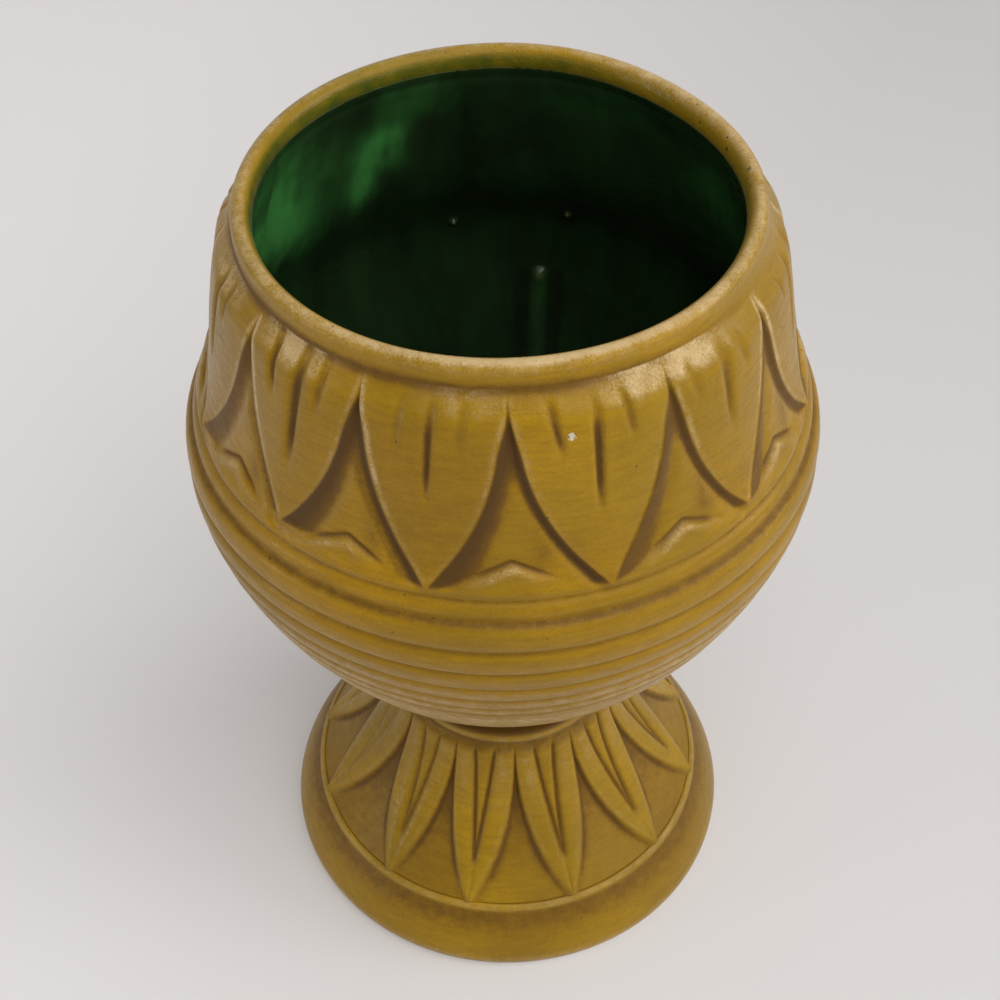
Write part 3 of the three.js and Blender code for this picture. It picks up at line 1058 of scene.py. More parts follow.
    def _places(self, reach: Array, half: Array, drop: Array) -> Array:
        """Angles from a petal's line to the recess's, closer together where the carving is fine.

        Args:
            reach: angle between the two lines, as a column.
            half: angle from the petal's line to its edge, as a column.
            drop: drops, as a column.

        Returns:
            A row of angles for each drop.
        """
        rows = []
        for span, edge, down in zip(reach[:, 0], half[:, 0], drop[:, 0]):
            middle = float(1 - ease((down - 30 * MM) / (8 * MM)))
            side = float(1 - ease((down - 16 * MM) / (6 * MM)))
            spots = [Spot(edge + 1.0, 1.8, 2.6), Spot(0.6, 1.3, 2.0 * middle), Spot(6.2, 1.6, 1.2 * side)]
            rows.append(crowded(self.petal_columns + 1, 0.0, float(span), spots))
        return np.stack(rows)

    @staticmethod
    def _strokes(
        local: Array, drop: Array, is_here: Array, here: PetalHand, after: PetalHand
    ) -> tuple[Array, Array]:
        """The strokes in two petals, each on its own side of the recess.

        Args:
            local: angles from the middle of the petal that each point is on.
            drop: drops, as a column.
            is_here: which points are on the first petal.
            here: the first petal.
            after: the next petal.

        Returns:
            Their depth and their wash.
        """
        depth, wash = np.zeros_like(local), np.zeros_like(local)
        for owned, petal in ((is_here, here), (~is_here, after)):
            for stroke in petal.strokes:
                share = stroke.share(local, drop / MM) * owned
                depth = depth + 1.15 * stroke.depth * MM * share
                dark = ease((drop / MM - stroke.top - 0.5) / 7)
                wash = np.maximum(wash, stroke.wash * np.clip(1.1 * share, 0, 1) * mix(0.5, 1, dark))
        return depth, wash

    def _walls(self, x: Array, y: Array) -> tuple[Array, Array]:
        """The slopes on both sides of a recess: a broad one on its left, a steep one on its right.

        Args:
            x: angles from the recess's left edge.
            y: angles from its right edge.

        Returns:
            Height as a share of the petals', and how much of each point is on a slope.
        """
        width = np.maximum(x + y, 0.5)
        long, short = self._wall_widths(width)
        left, right = np.clip(x / long, 0, 1), np.clip(y / short, 0, 1)
        high = np.maximum(1 - mix(left, ease(left), 0.55), 1 - ease(right))
        fading = 0.95 - 0.45 * ease((x / long - 0.35) / 0.65) * ease((y / short - 0.8) / 0.8)
        fading = mix(0.95, fading, ease((width - 4) / 4))
        return high, ease((x + 0.15) / 0.9) * ease(y / 0.7 + 0.2) * fading

    def _wall_widths(self, width: Array) -> tuple[Array, Array]:
        """How wide the broad and the steep slope are in a recess of a given width."""
        long = np.minimum(self.long_wall + 0.2 * np.clip(width - 7, 0, None), self.long_share * width)
        return long, np.minimum(self.short_wall + 0.02 * width, (1 - self.long_share) * width)

    def _recess(
        self, off: Array, x: Array, y: Array, drop: Array, spread: float
    ) -> tuple[Array, Array, Array, Array]:
        """The dart and the chevron in one recess.

        Args:
            off: angles from the recess's line.
            x: angles from its left edge.
            y: angles from its right edge.
            drop: drops, as a column.
            spread: how much wider the wash lies on its right side.

        Returns:
            Height over the turned surface, the chevron's cut line, the dart's share of each
            point, and how far each point lies below the cut line.
        """
        tip = self.outline.petal_tip_drop
        blunt = (np.hypot(off, self.chevron_round) - self.chevron_round) / self.chevron_spread
        under = drop - tip + self.chevron_peak - self.chevron_rise * blunt**self.chevron_curve
        fall = 1 - ease((drop - tip) / (1.6 * self.petal_height))
        step = ease(under / (1.2 * MM))
        bulge = self.chevron_swell * swell(under - 2 * MM, 1.5 * MM) * swell(off, 7.0)
        band = (self.chevron_height * (1 - 0.4 * ease((np.abs(off) - 3) / 5)) + bulge) * step * fall
        width = np.maximum(x + y, 0.5)
        long, short = self._wall_widths(width)
        room = ease((width - self.dart_width) / 3.5)
        dart = ease((x - 0.75 * long) / 2.2) * ease((y - 0.8 * short - spread) / 1.8) * room
        dome = ease((x - 0.7 * long) / 3.2) * ease((y - 0.7 * short) / 3.2) * room
        arm = 1 - ease((np.abs(off) - 0.5 * self.chevron_spread) / 5.5)
        cut = swell(under - 0.1 * MM, self.chevron_line) * arm
        height = self.dart_height * dome * (1 - step) + band - self.chevron_cut * cut
        return height, cut * fall, dart, under

    def _tip_groove(self, drop: Array) -> Array:
        """Depth of the groove that runs under the petals' tips."""
        place = self.outline.petal_tip_drop + self.tip_groove_fall
        return self.tip_groove_depth * swell(drop - place, self.tip_groove_width)

    def _ringed(self) -> Zone:
        """The turned rings round the belly.

        Returns:
            The band, down to just under the last ring.
        """
        start = self.outline.petal_tip_drop + 2.7 * MM
        places = self._ring_drops()
        spots = [Spot(place, 1.6 * MM, 2.0) for place in places]
        rows = crowded(self.ringed_rows, start, places[-1] + 4 * MM, spots)
        lift = -self._tip_groove(rows)
        wash = 0.5 * self._tip_groove(rows) / self.tip_groove_depth
        worn = np.zeros_like(rows)
        depth, width = self.ring_depth, self.ring_width
        ends = [*places[1:], places[-1] + self.ring_pitch]
        for number, (place, after) in enumerate(zip(places, ends)):
            lift = lift - depth * swell(rows - place, width)
            dark = self.first_ring_wash if number == 0 else self.ring_wash
            line = (0.95 if number == 0 else 0.6) * width
            low = place + 0.4 * line
            # Darker towards the bottom of the belly, ring by ring.
            darkening = self.low_belly_darkening * ease((number - 0.3) / 2.5)
            wash = np.maximum(wash, darkening * ease((rows - place) / (2 * MM)))
            wash = np.maximum(wash, dark * swell(rows - low, line) * depth / self.ring_depth)
            middle = (place + after) / 2
            crest = np.clip(1 - ((rows - middle) / ((after - place) / 2)) ** 2, 0, None)
            lift = lift + self.ring_crown * crest * depth / self.ring_depth
            rubbed = mix(0.0, self.low_belly_wear_and_sheen, ease((number - 1.2) / 3.5))
            worn = np.maximum(worn, rubbed * crest**1.3)
            depth *= self.ring_fade
            width *= self.pitch_ratio
        wash = np.maximum(wash, self.belly_veil)
        path = lifted(self.outline.path(rows), self.outline.normal(rows), lift)
        zone = Zone.turned(path, self.columns, self.turn, wash=wash, worn=worn)
        # Paler on the sides than at the front: a painted sheen over the rubbed crests.
        side = ease((np.abs(turned_from(zone.turn, 0.0)) - 10) / 50)
        zone.masks["worn"] *= mix(0.55, 1.15, side) * self._pale_kept_behind(zone.turn)
        return zone.roughened(self.hand)

    def _ring_drops(self) -> list[float]:
        """Finds where the turned grooves are.

        Returns:
            Their drops, from the top.
        """
        places = [self.outline.petal_tip_drop + self.ring_start]
        pitch = self.ring_pitch
        for _ in range(self.ring_count - 1):
            places.append(places[-1] + pitch)
            pitch *= self.pitch_ratio
        return places

    def _under(self) -> Zone:
        """The plain underside of the bowl, down to its neck.

        Returns:
            The band, down to the seam ring.
        """
        start = self._ring_drops()[-1] + 4.5 * MM
        ledge = self.levels.top - self.levels.seam - self.levels.ring_height / 2 - self.joint.gap
        rows = np.linspace(start, ledge, 30)
        # Darker towards the neck: brown wash, and painted shade under the bowl. Pale wear and painted sheen
        # at the top of the underside.
        wash = mix(self.low_belly_darkening, 0.8, ease((rows - self.outline.neck_drop + 12 * MM) / (14 * MM)))
        worn = self.low_belly_wear_and_sheen * (1 - ease((rows - start) / (20 * MM)))
        zone = Zone.turned(self.outline.path(rows), self.low_columns, self.turn, wash=wash, worn=worn)
        zone.masks["worn"] *= self._pale_kept_behind(zone.turn)
        return zone.roughened(self.hand)

    def _spigot(self) -> list[Zone]:
        """The spigot under the bowl, which stands in the foot's neck.

        Returns:
            The bands, from the seam ring to the middle of the spigot's end.
        """
        joint = self.joint
        spigot = joint.stub - joint.socket_wall - joint.gap
        ledge = self.levels.seam + self.levels.ring_height / 2 + joint.gap
        face = self.levels.seam + joint.gap / 2
        end = self.levels.seam - joint.spigot_length
        path = np.array([[joint.stub, ledge], [joint.stub, face], [spigot, face], [spigot, end]])
        middle = np.array([[0.0, end]])
        return [
            Zone.turned(path, self.low_columns, self.turn, bare=1.0),
            Zone.turned(middle, 1, self.turn, bare=1.0),
        ]


@dataclass(frozen=True)
class BrightPatch:
    """A brighter green patch: partly glaze that ran thin, partly painted light on the wall that the lamp
    lights.
    """

    turn: float
    drop: float
    across: float
    along: float
    share: float


@dataclass
class Lining:
    """The green glaze inside the bowl, with the run and bumps that it dried with."""

    outline: BowlOutline
    turn: float = BOWL_TURN
    edge_drop: float = 4.9 * MM
    gap: float = 0.3 * MM
    thickness: float = 0.6 * MM
    edge_gap: float = 0.02 * MM
    edge_thickness: float = 0.05 * MM
    feather: float = 6 * MM
    run_turn: float = 171.0
    run_top: float = 150 * MM
    run_width: float = 3.0 * MM
    run_height: float = 1.5 * MM
    run_length: float = 40 * MM
    bumps: Sequence[tuple[float, float]] = ((-169.5, 166.7 * MM), (164.5, 171 * MM))
    bump_width: float = 1.0 * MM
    bump_height: float = 1.7 * MM
    # Brighter green patches: thin glaze, and painted light, most of it on the left wall that the lamp
    # lights.
    bright_patches: Sequence[BrightPatch] = (
        BrightPatch(-115, 24 * MM, 11, 14 * MM, 0.68),
        BrightPatch(-122, 37 * MM, 8, 15 * MM, 0.65),
        BrightPatch(-151.5, 26 * MM, 5, 6 * MM, 1.5),
        BrightPatch(-145, 35 * MM, 3.4, 9 * MM, 1.1),
        BrightPatch(-134, 26 * MM, 6, 10 * MM, 0.3),
        BrightPatch(-131, 45 * MM, 5, 8 * MM, 0.25),
        BrightPatch(-94, 26 * MM, 13, 16 * MM, 0.6),
        BrightPatch(-160, 12 * MM, 12, 6 * MM, 0.35),
        BrightPatch(116, 27 * MM, 13, 13 * MM, 0.34),
        BrightPatch(150, 14 * MM, 14, 6 * MM, 0.25),
        BrightPatch(60, 30 * MM, 16, 14 * MM, 0.45),
        BrightPatch(100, 42 * MM, 26, 24 * MM, 0.12),
        BrightPatch(-20, 28 * MM, 18, 14 * MM, 0.4),
    )
    columns: int = 240
    rows: int = 180
    hand: HandTurning = BOWL_HAND
    ripple: HandTurning = HandTurning(
        seed=21, depth=0.1 * MM, waves=16, most_round=16, length=24 * MM
    )

    def build(self) -> bpy.types.Object:
        """Makes the lining's mesh.

        Returns:
            The lining as one thin closed piece, feathered out at its top.
        """
        path, inward = self.outline.cavity()
        start = int(np.argmax(self.outline.levels.top - path[:, 1] >= self.edge_drop))
        path, inward = path[start:], inward[start:]
        steps = np.concatenate([[0.0], np.cumsum(np.hypot(*np.diff(path, axis=0).T))])
        levels = [self.run_top, *(level for _, level in self.bumps)]
        fine = [Spot(float(np.interp(-level, -path[:, 1], steps)), 3 * MM, 3.0) for level in levels]
        fine.append(Spot(0.0, 6 * MM, 2.0))
        far, face_rows, ways = along_path(path, inward, count=self.rows, spots=fine)
        full = ease(far / self.feather)
        front = mix(self.edge_gap + self.edge_thickness, self.gap + self.thickness, full)
        face_path = lifted(face_rows, ways, front)
        face = Zone.turned(face_path[:-1], self.columns, self.turn)
        turns = [self.run_turn, *(turn for turn, _ in self.bumps)]
        fine = [Spot((turn - self.turn) % 360.0, 3.0, 5.0) for turn in turns]
        face.turn[:] = self.turn + crowded(self.columns + 1, 0.0, 360.0, fine)[:-1]
        sunk = full[:-1, None]
        face.radius = face.radius - (self._beads(face) + self.ripple.at(face.turn, face.level)) * sunk
        face.masks["thin"] = self._thinness_and_painted_light(face)
        # Painted highlight on the run's head and the bumps' tops, over a faintly lighter run.
        face.masks["run"] = 0.05 * self._run(face) + self._painted_highlights(face)
        face = face.roughened(self.hand)
        middle = Zone.turned(face_path[-1:], 1, self.turn)
        far, back_rows, ways = along_path(path, inward, count=60, spots=[Spot(0.0, 6 * MM, 4.0)])
        behind = mix(self.edge_gap, self.gap, ease(far / self.feather))
        back_path = lifted(back_rows, ways, behind)
        back = Zone.turned(back_path[:-1], self.columns // 2, self.turn).roughened(self.hand)
        back_middle = Zone.turned(back_path[-1:], 1, self.turn)
        zones = [middle, face.upside_down(), back, back_middle]
        return TurnedBody("green_lining", zones).build()

    def _across(self, face: Zone, turn: float) -> Array:
        """Distance along the wall from a line at one angle."""
        return np.radians(turned_from(face.turn, turn)) * face.radius

    def _run(self, face: Zone) -> Array:
        """How much of the run lies on each point.

        Args:
            face: the glaze's face.

        Returns:
            Shares from 0 to 1.
        """
        down = self.run_top - face.level
        body = ease((down + 1.5 * MM) / (3 * MM)) * mix(1.0, 0.3, ease(down / self.run_length))
        return body * swell(self._across(face, self.run_turn), self.run_width)

    def _beads(self, face: Zone) -> Array:
        """The relief of the run and the bumps.

        Args:
            face: the glaze's face.

        Returns:
            Height over the face at each point.
        """
        down = self.run_top - face.level
        head = np.hypot(down - 1.4 * MM, self._across(face, self.run_turn))
        total = self.run_height * (0.6 * self._run(face) + 0.5 * swell(head, 2.1 * MM))
        for turn, level in self.bumps:
            apart = np.hypot(self._across(face, turn), face.level - level)
            total = total + self.bump_height * swell(apart, self.bump_width)
        return total

    def _painted_highlights(self, face: Zone) -> Array:
        """Painted highlight where the run's head and the bumps catch the light.

        Args:
            face: the glaze's face.

        Returns:
            Shares from 0 to 1.
        """
        total = np.zeros_like(face.turn)
        for turn, level, width in ((self.run_turn, self.run_top - 1.4 * MM, 1.3 * MM), *self._tops()):
            apart = np.hypot(self._across(face, turn), face.level - level)
            total = np.maximum(total, swell(apart, width))
        return total

    def _tops(self) -> list[Triple]:
        """The bumps' angles, levels and the width of their tops."""
        return [(turn, level, 0.8 * self.bump_width) for turn, level in self.bumps]

    def _thinness_and_painted_light(self, face: Zone) -> Array:
        """How much brighter green each point is: partly thin glaze, partly painted light, with painted
        light on the run's ridge and painted shadow beside it.

        Args:
            face: the glaze's face.

        Returns:
            Shares from 0 to 1.
        """
        drop = self.outline.levels.top - face.level
        total = np.full_like(drop, 0.06)
        for pale in self.bright_patches:
            apart = turned_from(face.turn, pale.turn)
            total = total + pale.share * swell(apart, pale.across) * swell(drop - pale.drop, pale.along)
        # Painted light on the run's ridge and painted shadow on both its sides.
        side = self._across(face, self.run_turn)
        down = ease((self.run_top - face.level + 2 * MM) / (4 * MM))
        dark = swell(np.abs(side) - 4.4 * MM, 1.5 * MM)
        total = total + down * (0.16 * swell(side, 2.2 * MM) - 0.25 * dark)
        return np.clip(total, 0, 1)


@dataclass
class SeamRing:
    """The rounded ring of joining slip between bowl and foot."""

    levels: Levels
    joint: SpigotJoint = SpigotJoint()
    turn: float = FOOT_TURN
    columns: int = 240
    hand: HandTurning = HandTurning(seed=31, depth=0.07 * MM)

    def build(self) -> bpy.types.Object:
        """Makes the ring's mesh.

        Returns:
            The ring as one closed piece.
        """
        section = self.levels.ring_height / 2
        inner = self.joint.stub + self.joint.gap
        centre = self.levels.ring_radius - section
        turns = np.radians(np.linspace(90, -90, 19))
        bulge = np.stack([centre + section * np.cos(turns), self.levels.seam + section * np.sin(turns)], -1)
        top = [[inner, self.levels.seam + section]]
        low = [[inner, self.levels.seam - section]]
        path = np.concatenate([top, bulge, low])
        height = (path[:, 1] - self.levels.seam) / section
        wash = np.maximum(0.25, 0.85 * ease(np.abs(height) / 0.8 - 0.25))
        worn = 0.12 * swell(height - 0.15, 0.45)
        ring = Zone.turned(path, self.columns, self.turn, wash=wash, worn=worn).roughened(self.hand)
        return TurnedBody("seam_ring", [ring], is_loop=True).build()


@dataclass(frozen=True)
class LeafHand:
    """How one leaf and the recess after it came out."""

    tip_shift: float
    vein_share: float
    recess_wash: float

    @classmethod
    def drawn(cls, dice: np.random.Generator) -> "LeafHand":
        """A leaf on the side that the photograph doesn't show."""
        return cls(dice.uniform(-1.5, 1.5), dice.uniform(0.6, 1.0), dice.uniform(0.1, 0.4))


SEEN_LEAVES = {
    9: LeafHand(0.0, 0.35, 0.3),
    10: LeafHand(-1.2, 0.3, 0.36),
    11: LeafHand(3.0, 0.8, 0.3),
    0: LeafHand(-0.7, 1.0, 0.14),
    1: LeafHand(0.0, 1.0, 0.16),
    2: LeafHand(0.6, 1.0, 0.34),
    3: LeafHand(-0.5, 0.9, 0.3),
}


@dataclass
class Foot:
    """The hollow pedestal with its leaves, bead and smooth skirt."""

    levels: Levels
    joint: SpigotJoint = SpigotJoint()
    turn: float = FOOT_TURN
    leaf_count: int = 12
    leaf_seed: int = 17
    leaf_spread: float = 14.0
    leaf_fullness: float = 2.2
    leaf_height: float = 1.4 * MM
    leaf_edge: float = 2.4
    leaf_crown: float = 0.35 * MM
    leaf_rise: float = 3 * MM
    vein_spread: float = 5.3
    vein_stop: float = 10.5 * MM
    vein_depth: float = 0.8 * MM
    vein_width: float = 1.2
    stand_edge: float = 3.3 * MM
    stand_rounding: float = 2 * MM
    stand_width: float = 4.8 * MM
    bead_level: float = 18.8 * MM
    skirt_reach: float = 8.3 * MM
    bead_section: float = 0.9 * MM
    bead_lift: float = 0.5 * MM
    collar_inset: float = 0.3 * MM
    flare_fullness: float = 1.5
    skirt_fullness: float = 1.45
    wall: float = 5 * MM
    hollow_start: float = 0.55
    hollow_end: float = 0.8
    socket_floor: float = 1 * MM
    leaf_columns: int = 26
    leaf_rows: int = 72
    columns: int = 288
    hidden_columns: int = 96
    hand: HandTurning = HandTurning(seed=8, depth=0.1 * MM)

    def __post_init__(self) -> None:
        """Draws the leaves that the photograph doesn't show."""
        dice = np.random.default_rng(self.leaf_seed)
        drawn = [LeafHand.drawn(dice) for _ in range(self.leaf_count)]
        self.leaves = [SEEN_LEAVES.get(number, leaf) for number, leaf in enumerate(drawn)]

    @property
    def collar_level(self) -> float:
        """Level of the foot's top, just under the seam ring."""
        return self.levels.seam - self.levels.ring_height / 2 - self.joint.gap

    @property
    def leaf_tip_level(self) -> float:
        """Level of the leaves' tips, on top of the bead."""
        return self.bead_level + self.bead_section

    def build(self) -> bpy.types.Object:
        """Makes the foot's mesh.

        Returns:
            The foot as one closed piece.
        """
        zones = [self._neck(), self._leaves(), self._bead(), self._skirt(), self._hollow()]
        return TurnedBody("leafed_foot", zones, is_loop=True).build()

    def radius(self, level: Array) -> Array:
        """Radius of the turned surface, under the leaves and the bead.

        Args:
            level: heights from the stand's edge up to the collar.

        Returns:
            The radius at each level.
        """
        bead = self.levels.stand_radius - self.skirt_reach
        collar = self.levels.ring_radius - self.collar_inset
        up = np.clip((self.collar_level - level) / (self.collar_level - self.bead_level), 0, 1)
        down = np.clip((level - self.stand_edge) / (self.bead_level - self.stand_edge), 0, 1)
        flare = mix(collar, bead, up**self.flare_fullness)
        skirt = mix(self.levels.stand_radius, bead, down**self.skirt_fullness)
        return np.where(level >= self.bead_level, flare, skirt)

    def path(self, level: Array) -> Array:
        """The surface's points at some levels, as rows of radius and level."""
        return np.stack([self.radius(level), level], axis=-1)

    def normal(self, level: Array) -> Array:
        """The surface's outward direction at some levels, as rows of radius and level."""
        flare = (self.radius(level - NEARBY) - self.radius(level + NEARBY)) / (2 * NEARBY)
        return np.stack([np.ones_like(flare), flare], axis=-1) / np.hypot(1, flare)[..., None]

    def _neck(self) -> Zone:
        """The socket that holds the bowl's spigot, hidden inside the seam ring.

        Returns:
            The band, from the socket's edge down to the collar.
        """
        stub = self.joint.stub
        face = self.levels.seam - self.joint.gap / 2
        path = np.array([[stub - self.joint.socket_wall, face], [stub, face], [stub, self.collar_level]])
        return Zone.turned(path, self.hidden_columns, self.turn, bare=1.0)

    def _leaf_half(self, level: float) -> float:
        """Half the angle that a leaf takes up at a level."""
        share = (self.collar_level - level) / (self.collar_level - self.leaf_tip_level)
        return self.leaf_spread * (1 - float(np.clip(share, 0, 1)) ** self.leaf_fullness)

    def _vein_half(self, level: float) -> float:
        """Angle from a leaf's middle to the groove beside it, at a level."""
        length = self.collar_level - self.leaf_tip_level - self.vein_stop
        return self.vein_spread * (1 - float(np.clip((self.collar_level - level) / length, 0, 1)))

    def _leaves(self) -> Zone:
        """The leaves, from the collar down to the bead.

        Returns:
            The band, downwards.
        """
        levels = crowded(
            self.leaf_rows,
            self.leaf_tip_level,
            self.collar_level,
            [Spot(self.leaf_tip_level, 2 * MM, 1.0), Spot(self.collar_level, 2.5 * MM, 1.5)],
        )[::-1]
        share = 360.0 / self.leaf_count
        rows = []
        for level in levels:
            spots = [
                Spot(self._leaf_half(level) + self.leaf_edge / 2, 1.1, 2.6),
                Spot(self._vein_half(level), 1.1, 2.2),
            ]
            near = crowded(self.leaf_columns + 1, 0.0, share / 2, spots)
            rows.append(np.concatenate([near, share - near[-2:0:-1]]))
        local = np.stack(rows)
        cells = [self._cell(number, local, levels[:, None]) for number in range(self.leaf_count)]
        turn, lift, wash, worn = (np.concatenate(part, axis=1) for part in zip(*cells))
        path, normal = self.path(levels), self.normal(levels)
        radius = path[:, :1] + lift * normal[:, :1]
        level = path[:, 1:] + lift * normal[:, 1:]
        return Zone(turn, radius, level, {"wash": wash, "worn": worn}).roughened(self.hand)

    def _cell(self, number: int, local: Array, level: Array) -> tuple[Array, Array, Array, Array]:
        """The carving from one leaf's middle line to the next one's.

        Args:
            number: which leaf, counted from the one left of the front.
            local: angles from the first leaf's middle, in even leaves.
            level: levels, as a column.

        Returns:
            Angle, height over the turned surface, brown wash and rubbed colour.
        """
        share = 360.0 / self.leaf_count
        here, after = self.leaves[number], self.leaves[(number + 1) % self.leaf_count]
        is_after = local > share / 2
        off = np.abs(local - np.where(is_after, share, 0.0))
        vein_share = np.where(is_after, after.vein_share, here.vein_share)
        half = np.array([[self._leaf_half(float(z))] for z in level[:, 0]])
        vein = np.array([[self._vein_half(float(z))] for z in level[:, 0]])
        below = self.collar_level - level
        length = self.collar_level - self.leaf_tip_level - self.vein_stop
        down = below / (self.collar_level - self.leaf_tip_level)
        top_fade = ease(below / self.leaf_rise)
        out = off - half
        inside = 1 - ease(out / self.leaf_edge)
        vein_end = 1 - ease((below - length) / (2.5 * MM))
        groove = swell(off - vein, self.vein_width * mix(1.1, 0.75, down)) * vein_end
        strip = np.clip((off - vein) / np.maximum(half - vein, 0.8), 0, 1)
        pillow = 4 * strip * (1 - strip)
        rib = swell(off, np.maximum(vein, 0.8)) * vein_end
        crown = self.leaf_crown * (pillow + 0.3 * rib)
        groove = groove * vein_share
        lift = top_fade * ((self.leaf_height + crown) * inside - self.vein_depth * groove)

        slope = ease(out / (1.2 * self.leaf_edge) + 0.3)
        near_edge = 0.8 * np.exp(-np.clip(out - 0.8 * self.leaf_edge, 0, None) / 2.6)
        floor = mix(0.8, here.recess_wash + 0.04, ease((down - 0.3) / 0.55))
        recess = np.maximum(near_edge * mix(1, 0.5, ease((down - 0.75) / 0.25)), floor) * slope
        wash = np.maximum(recess, 0.72 * groove * inside * top_fade)
        upper = 1 - ease((down - 0.15) / 0.45)
        wash = np.maximum(wash, 0.16 * upper * inside)
        # Darker in the top 6 mm, just under the seam ring.
        wash = np.maximum(wash, 0.55 * ease(1 - below / (6 * MM)))
        line = 0.08 * swell(out + 0.7, 0.6) * inside * (1 - ease((down - 0.7) / 0.3))
        worn = np.maximum(0.12 * pillow**2 * inside * upper, line) * ease(below / (6 * MM))
        shift = mix(here.tip_shift, after.tip_shift, ease(local / share)) * np.clip(down, 0, 1)
        return self.turn + share * number + local + shift, lift, wash, worn

    def _bead(self) -> Zone:
        """The fine bead round the foot, under the leaves' tips.

        Returns:
            The band, downwards.
        """
        turns = np.radians(np.linspace(90, -90, 17))
        levels = self.bead_level + self.bead_section * np.sin(turns)
        lift = self.bead_lift * np.cos(turns)
        path = lifted(self.path(levels), self.normal(levels), lift)
        crest = np.cos(turns)
        wash = 0.25 * (1 - ease(crest * 1.8))
        worn = 0.12 * ease(crest * 1.6 - 0.6)
        zone = Zone.turned(path, self.columns, self.turn, wash=wash, worn=worn)
        return zone.roughened(self.hand)

    def _skirt(self) -> Zone:
        """The smooth skirt under the bead, round the edge to the ring that the vase stands on.

        Returns:
            The band, downwards.
        """
        stand = self.levels.stand_radius
        levels = np.linspace(self.bead_level - self.bead_section, self.stand_edge, 26)[1:-1]
        skirt = self.path(levels)
        turns = np.radians(np.linspace(0, 90, 9))
        outer = stand - self.stand_rounding
        edge_radius = outer + self.stand_rounding * np.cos(turns)
        edge_level = self.stand_edge * (1 - np.sin(turns))
        inner = [[outer - self.stand_width, 0.0]]
        path = np.concatenate([skirt, np.stack([edge_radius, edge_level], axis=-1), inner])
        fall = (self.bead_level - path[:, 1]) / (self.bead_level - self.stand_edge)
        wash = mix(0.58, 0.17, ease((fall - 0.1) / 0.6))
        worn = 0.15 * swell(path[:, 1] - self.stand_edge, 1.2 * MM)
        bare = ease((1.2 * MM - path[:, 1]) / (0.8 * MM))
        zone = Zone.turned(path, self.columns, self.turn, wash=wash, worn=worn, bare=bare)
        return zone.roughened(self.hand)

    def _hollow(self) -> Zone:
        """The hollow under the foot, up to the socket.

        Returns:
            The band, upwards.
        """
        low = mix(self.stand_edge, self.bead_level, self.hollow_start)
        high = mix(self.bead_level, self.collar_level, self.hollow_end)
        levels = np.linspace(float(low), float(high), 30)
        walls = lifted(self.path(levels), self.normal(levels), -self.wall)
        socket = self.joint.stub - self.joint.socket_wall
        top = [[socket, self.levels.seam - self.joint.spigot_length - self.socket_floor]]
        path = np.concatenate([walls, top])
        return Zone.turned(path, self.hidden_columns, self.turn, bare=1.0).roughened(self.hand)


class Nodes:
    """Adds nodes to one tree, and sets or links their inputs in the same call."""

    def __init__(self, tree: bpy.types.NodeTree) -> None:
        """Keeps the tree."""
        self.tree = tree

    def add(
        self, kind: str, inputs: Mapping[Any, Any] | None = None, **settings: Any
    ) -> bpy.types.Node:
        """Adds one node.

        Args:
            kind: the node's type name without its common start.
            inputs: values, or other nodes' outputs, by the input's name or number.
            settings: the node's own settings.

        Returns:
            The new node.
        """
        node = self.tree.nodes.new("ShaderNode" + kind)
        for name, value in settings.items():
            setattr(node, name, value)
        for name, value in (inputs or {}).items():
            if isinstance(value, Socket):
                self.tree.links.new(value, node.inputs[name])
            else:
                node.inputs[name].default_value = value
        return node

    def maths(self, operation: str, *values: Any, clamped: bool = False) -> Socket:
        """The result of one sum.

        Args:
            operation: the name of the sum.
            values: numbers, or other nodes' outputs.
            clamped: whether the result is kept from 0 to 1.

        Returns:
            The output that holds the result.
        """
        inputs = dict(enumerate(values))
        return self.add("Math", inputs, operation=operation, use_clamp=clamped).outputs[0]

    def times(self, first: Any, second: Any) -> Socket:
        """The product of two values."""
        return self.maths("MULTIPLY", first, second)

    def blend(self, share: Any, first: Any, second: Any) -> Socket:
        """A colour that lies a share of the way from the first to the second."""
        node = self.add("Mix", {0: share, 6: first, 7: second}, data_type="RGBA")
        return node.outputs[2]

    def spread(
        self, value: Any, low: float, high: float, start: float = 0.0, end: float = 1.0
    ) -> Socket:
        """A value carried from one range to another, and kept inside it."""
        inputs = {"Value": value, "From Min": low, "From Max": high, "To Min": start, "To Max": end}
        return self.add("MapRange", inputs, clamp=True).outputs[0]

    def noise(self, place: Any, scale: Any, detail: float = 2.0) -> Socket:
        """Soft noise from 0 to 1.

        Args:
            place: the output that holds the place.
            scale: blobs in each metre.
            detail: how many finer layers it has.

        Returns:
            The output that holds the noise.
        """
        inputs = {"Vector": place, "Scale": scale, "Detail": detail}
        return self.add("TexNoise", inputs).outputs[0]

    def mask(self, name: str) -> Socket:
        """One of the piece's masks."""
        return self.add("Attribute", attribute_name=name).outputs["Fac"]

    def seen(self) -> Socket:
        """Tells what the camera sees, also in a mirror or through glass, from what light does.

        Returns:
            The output that holds 1 or 0.
        """
        rays = self.add("LightPath").outputs
        total = self.maths("ADD", rays["Is Camera Ray"], rays["Is Glossy Ray"])
        return self.maths("ADD", total, rays["Is Transmission Ray"], clamped=True)

    def group(self, effect: "Effect", inputs: Mapping[str, Any]) -> bpy.types.Node:
        """Places an effect's group in the tree."""
        return self.add("Group", inputs, node_tree=effect.tree())


SOCKETS = {"value": "NodeSocketFloat", "colour": "NodeSocketColor", "vector": "NodeSocketVector"}


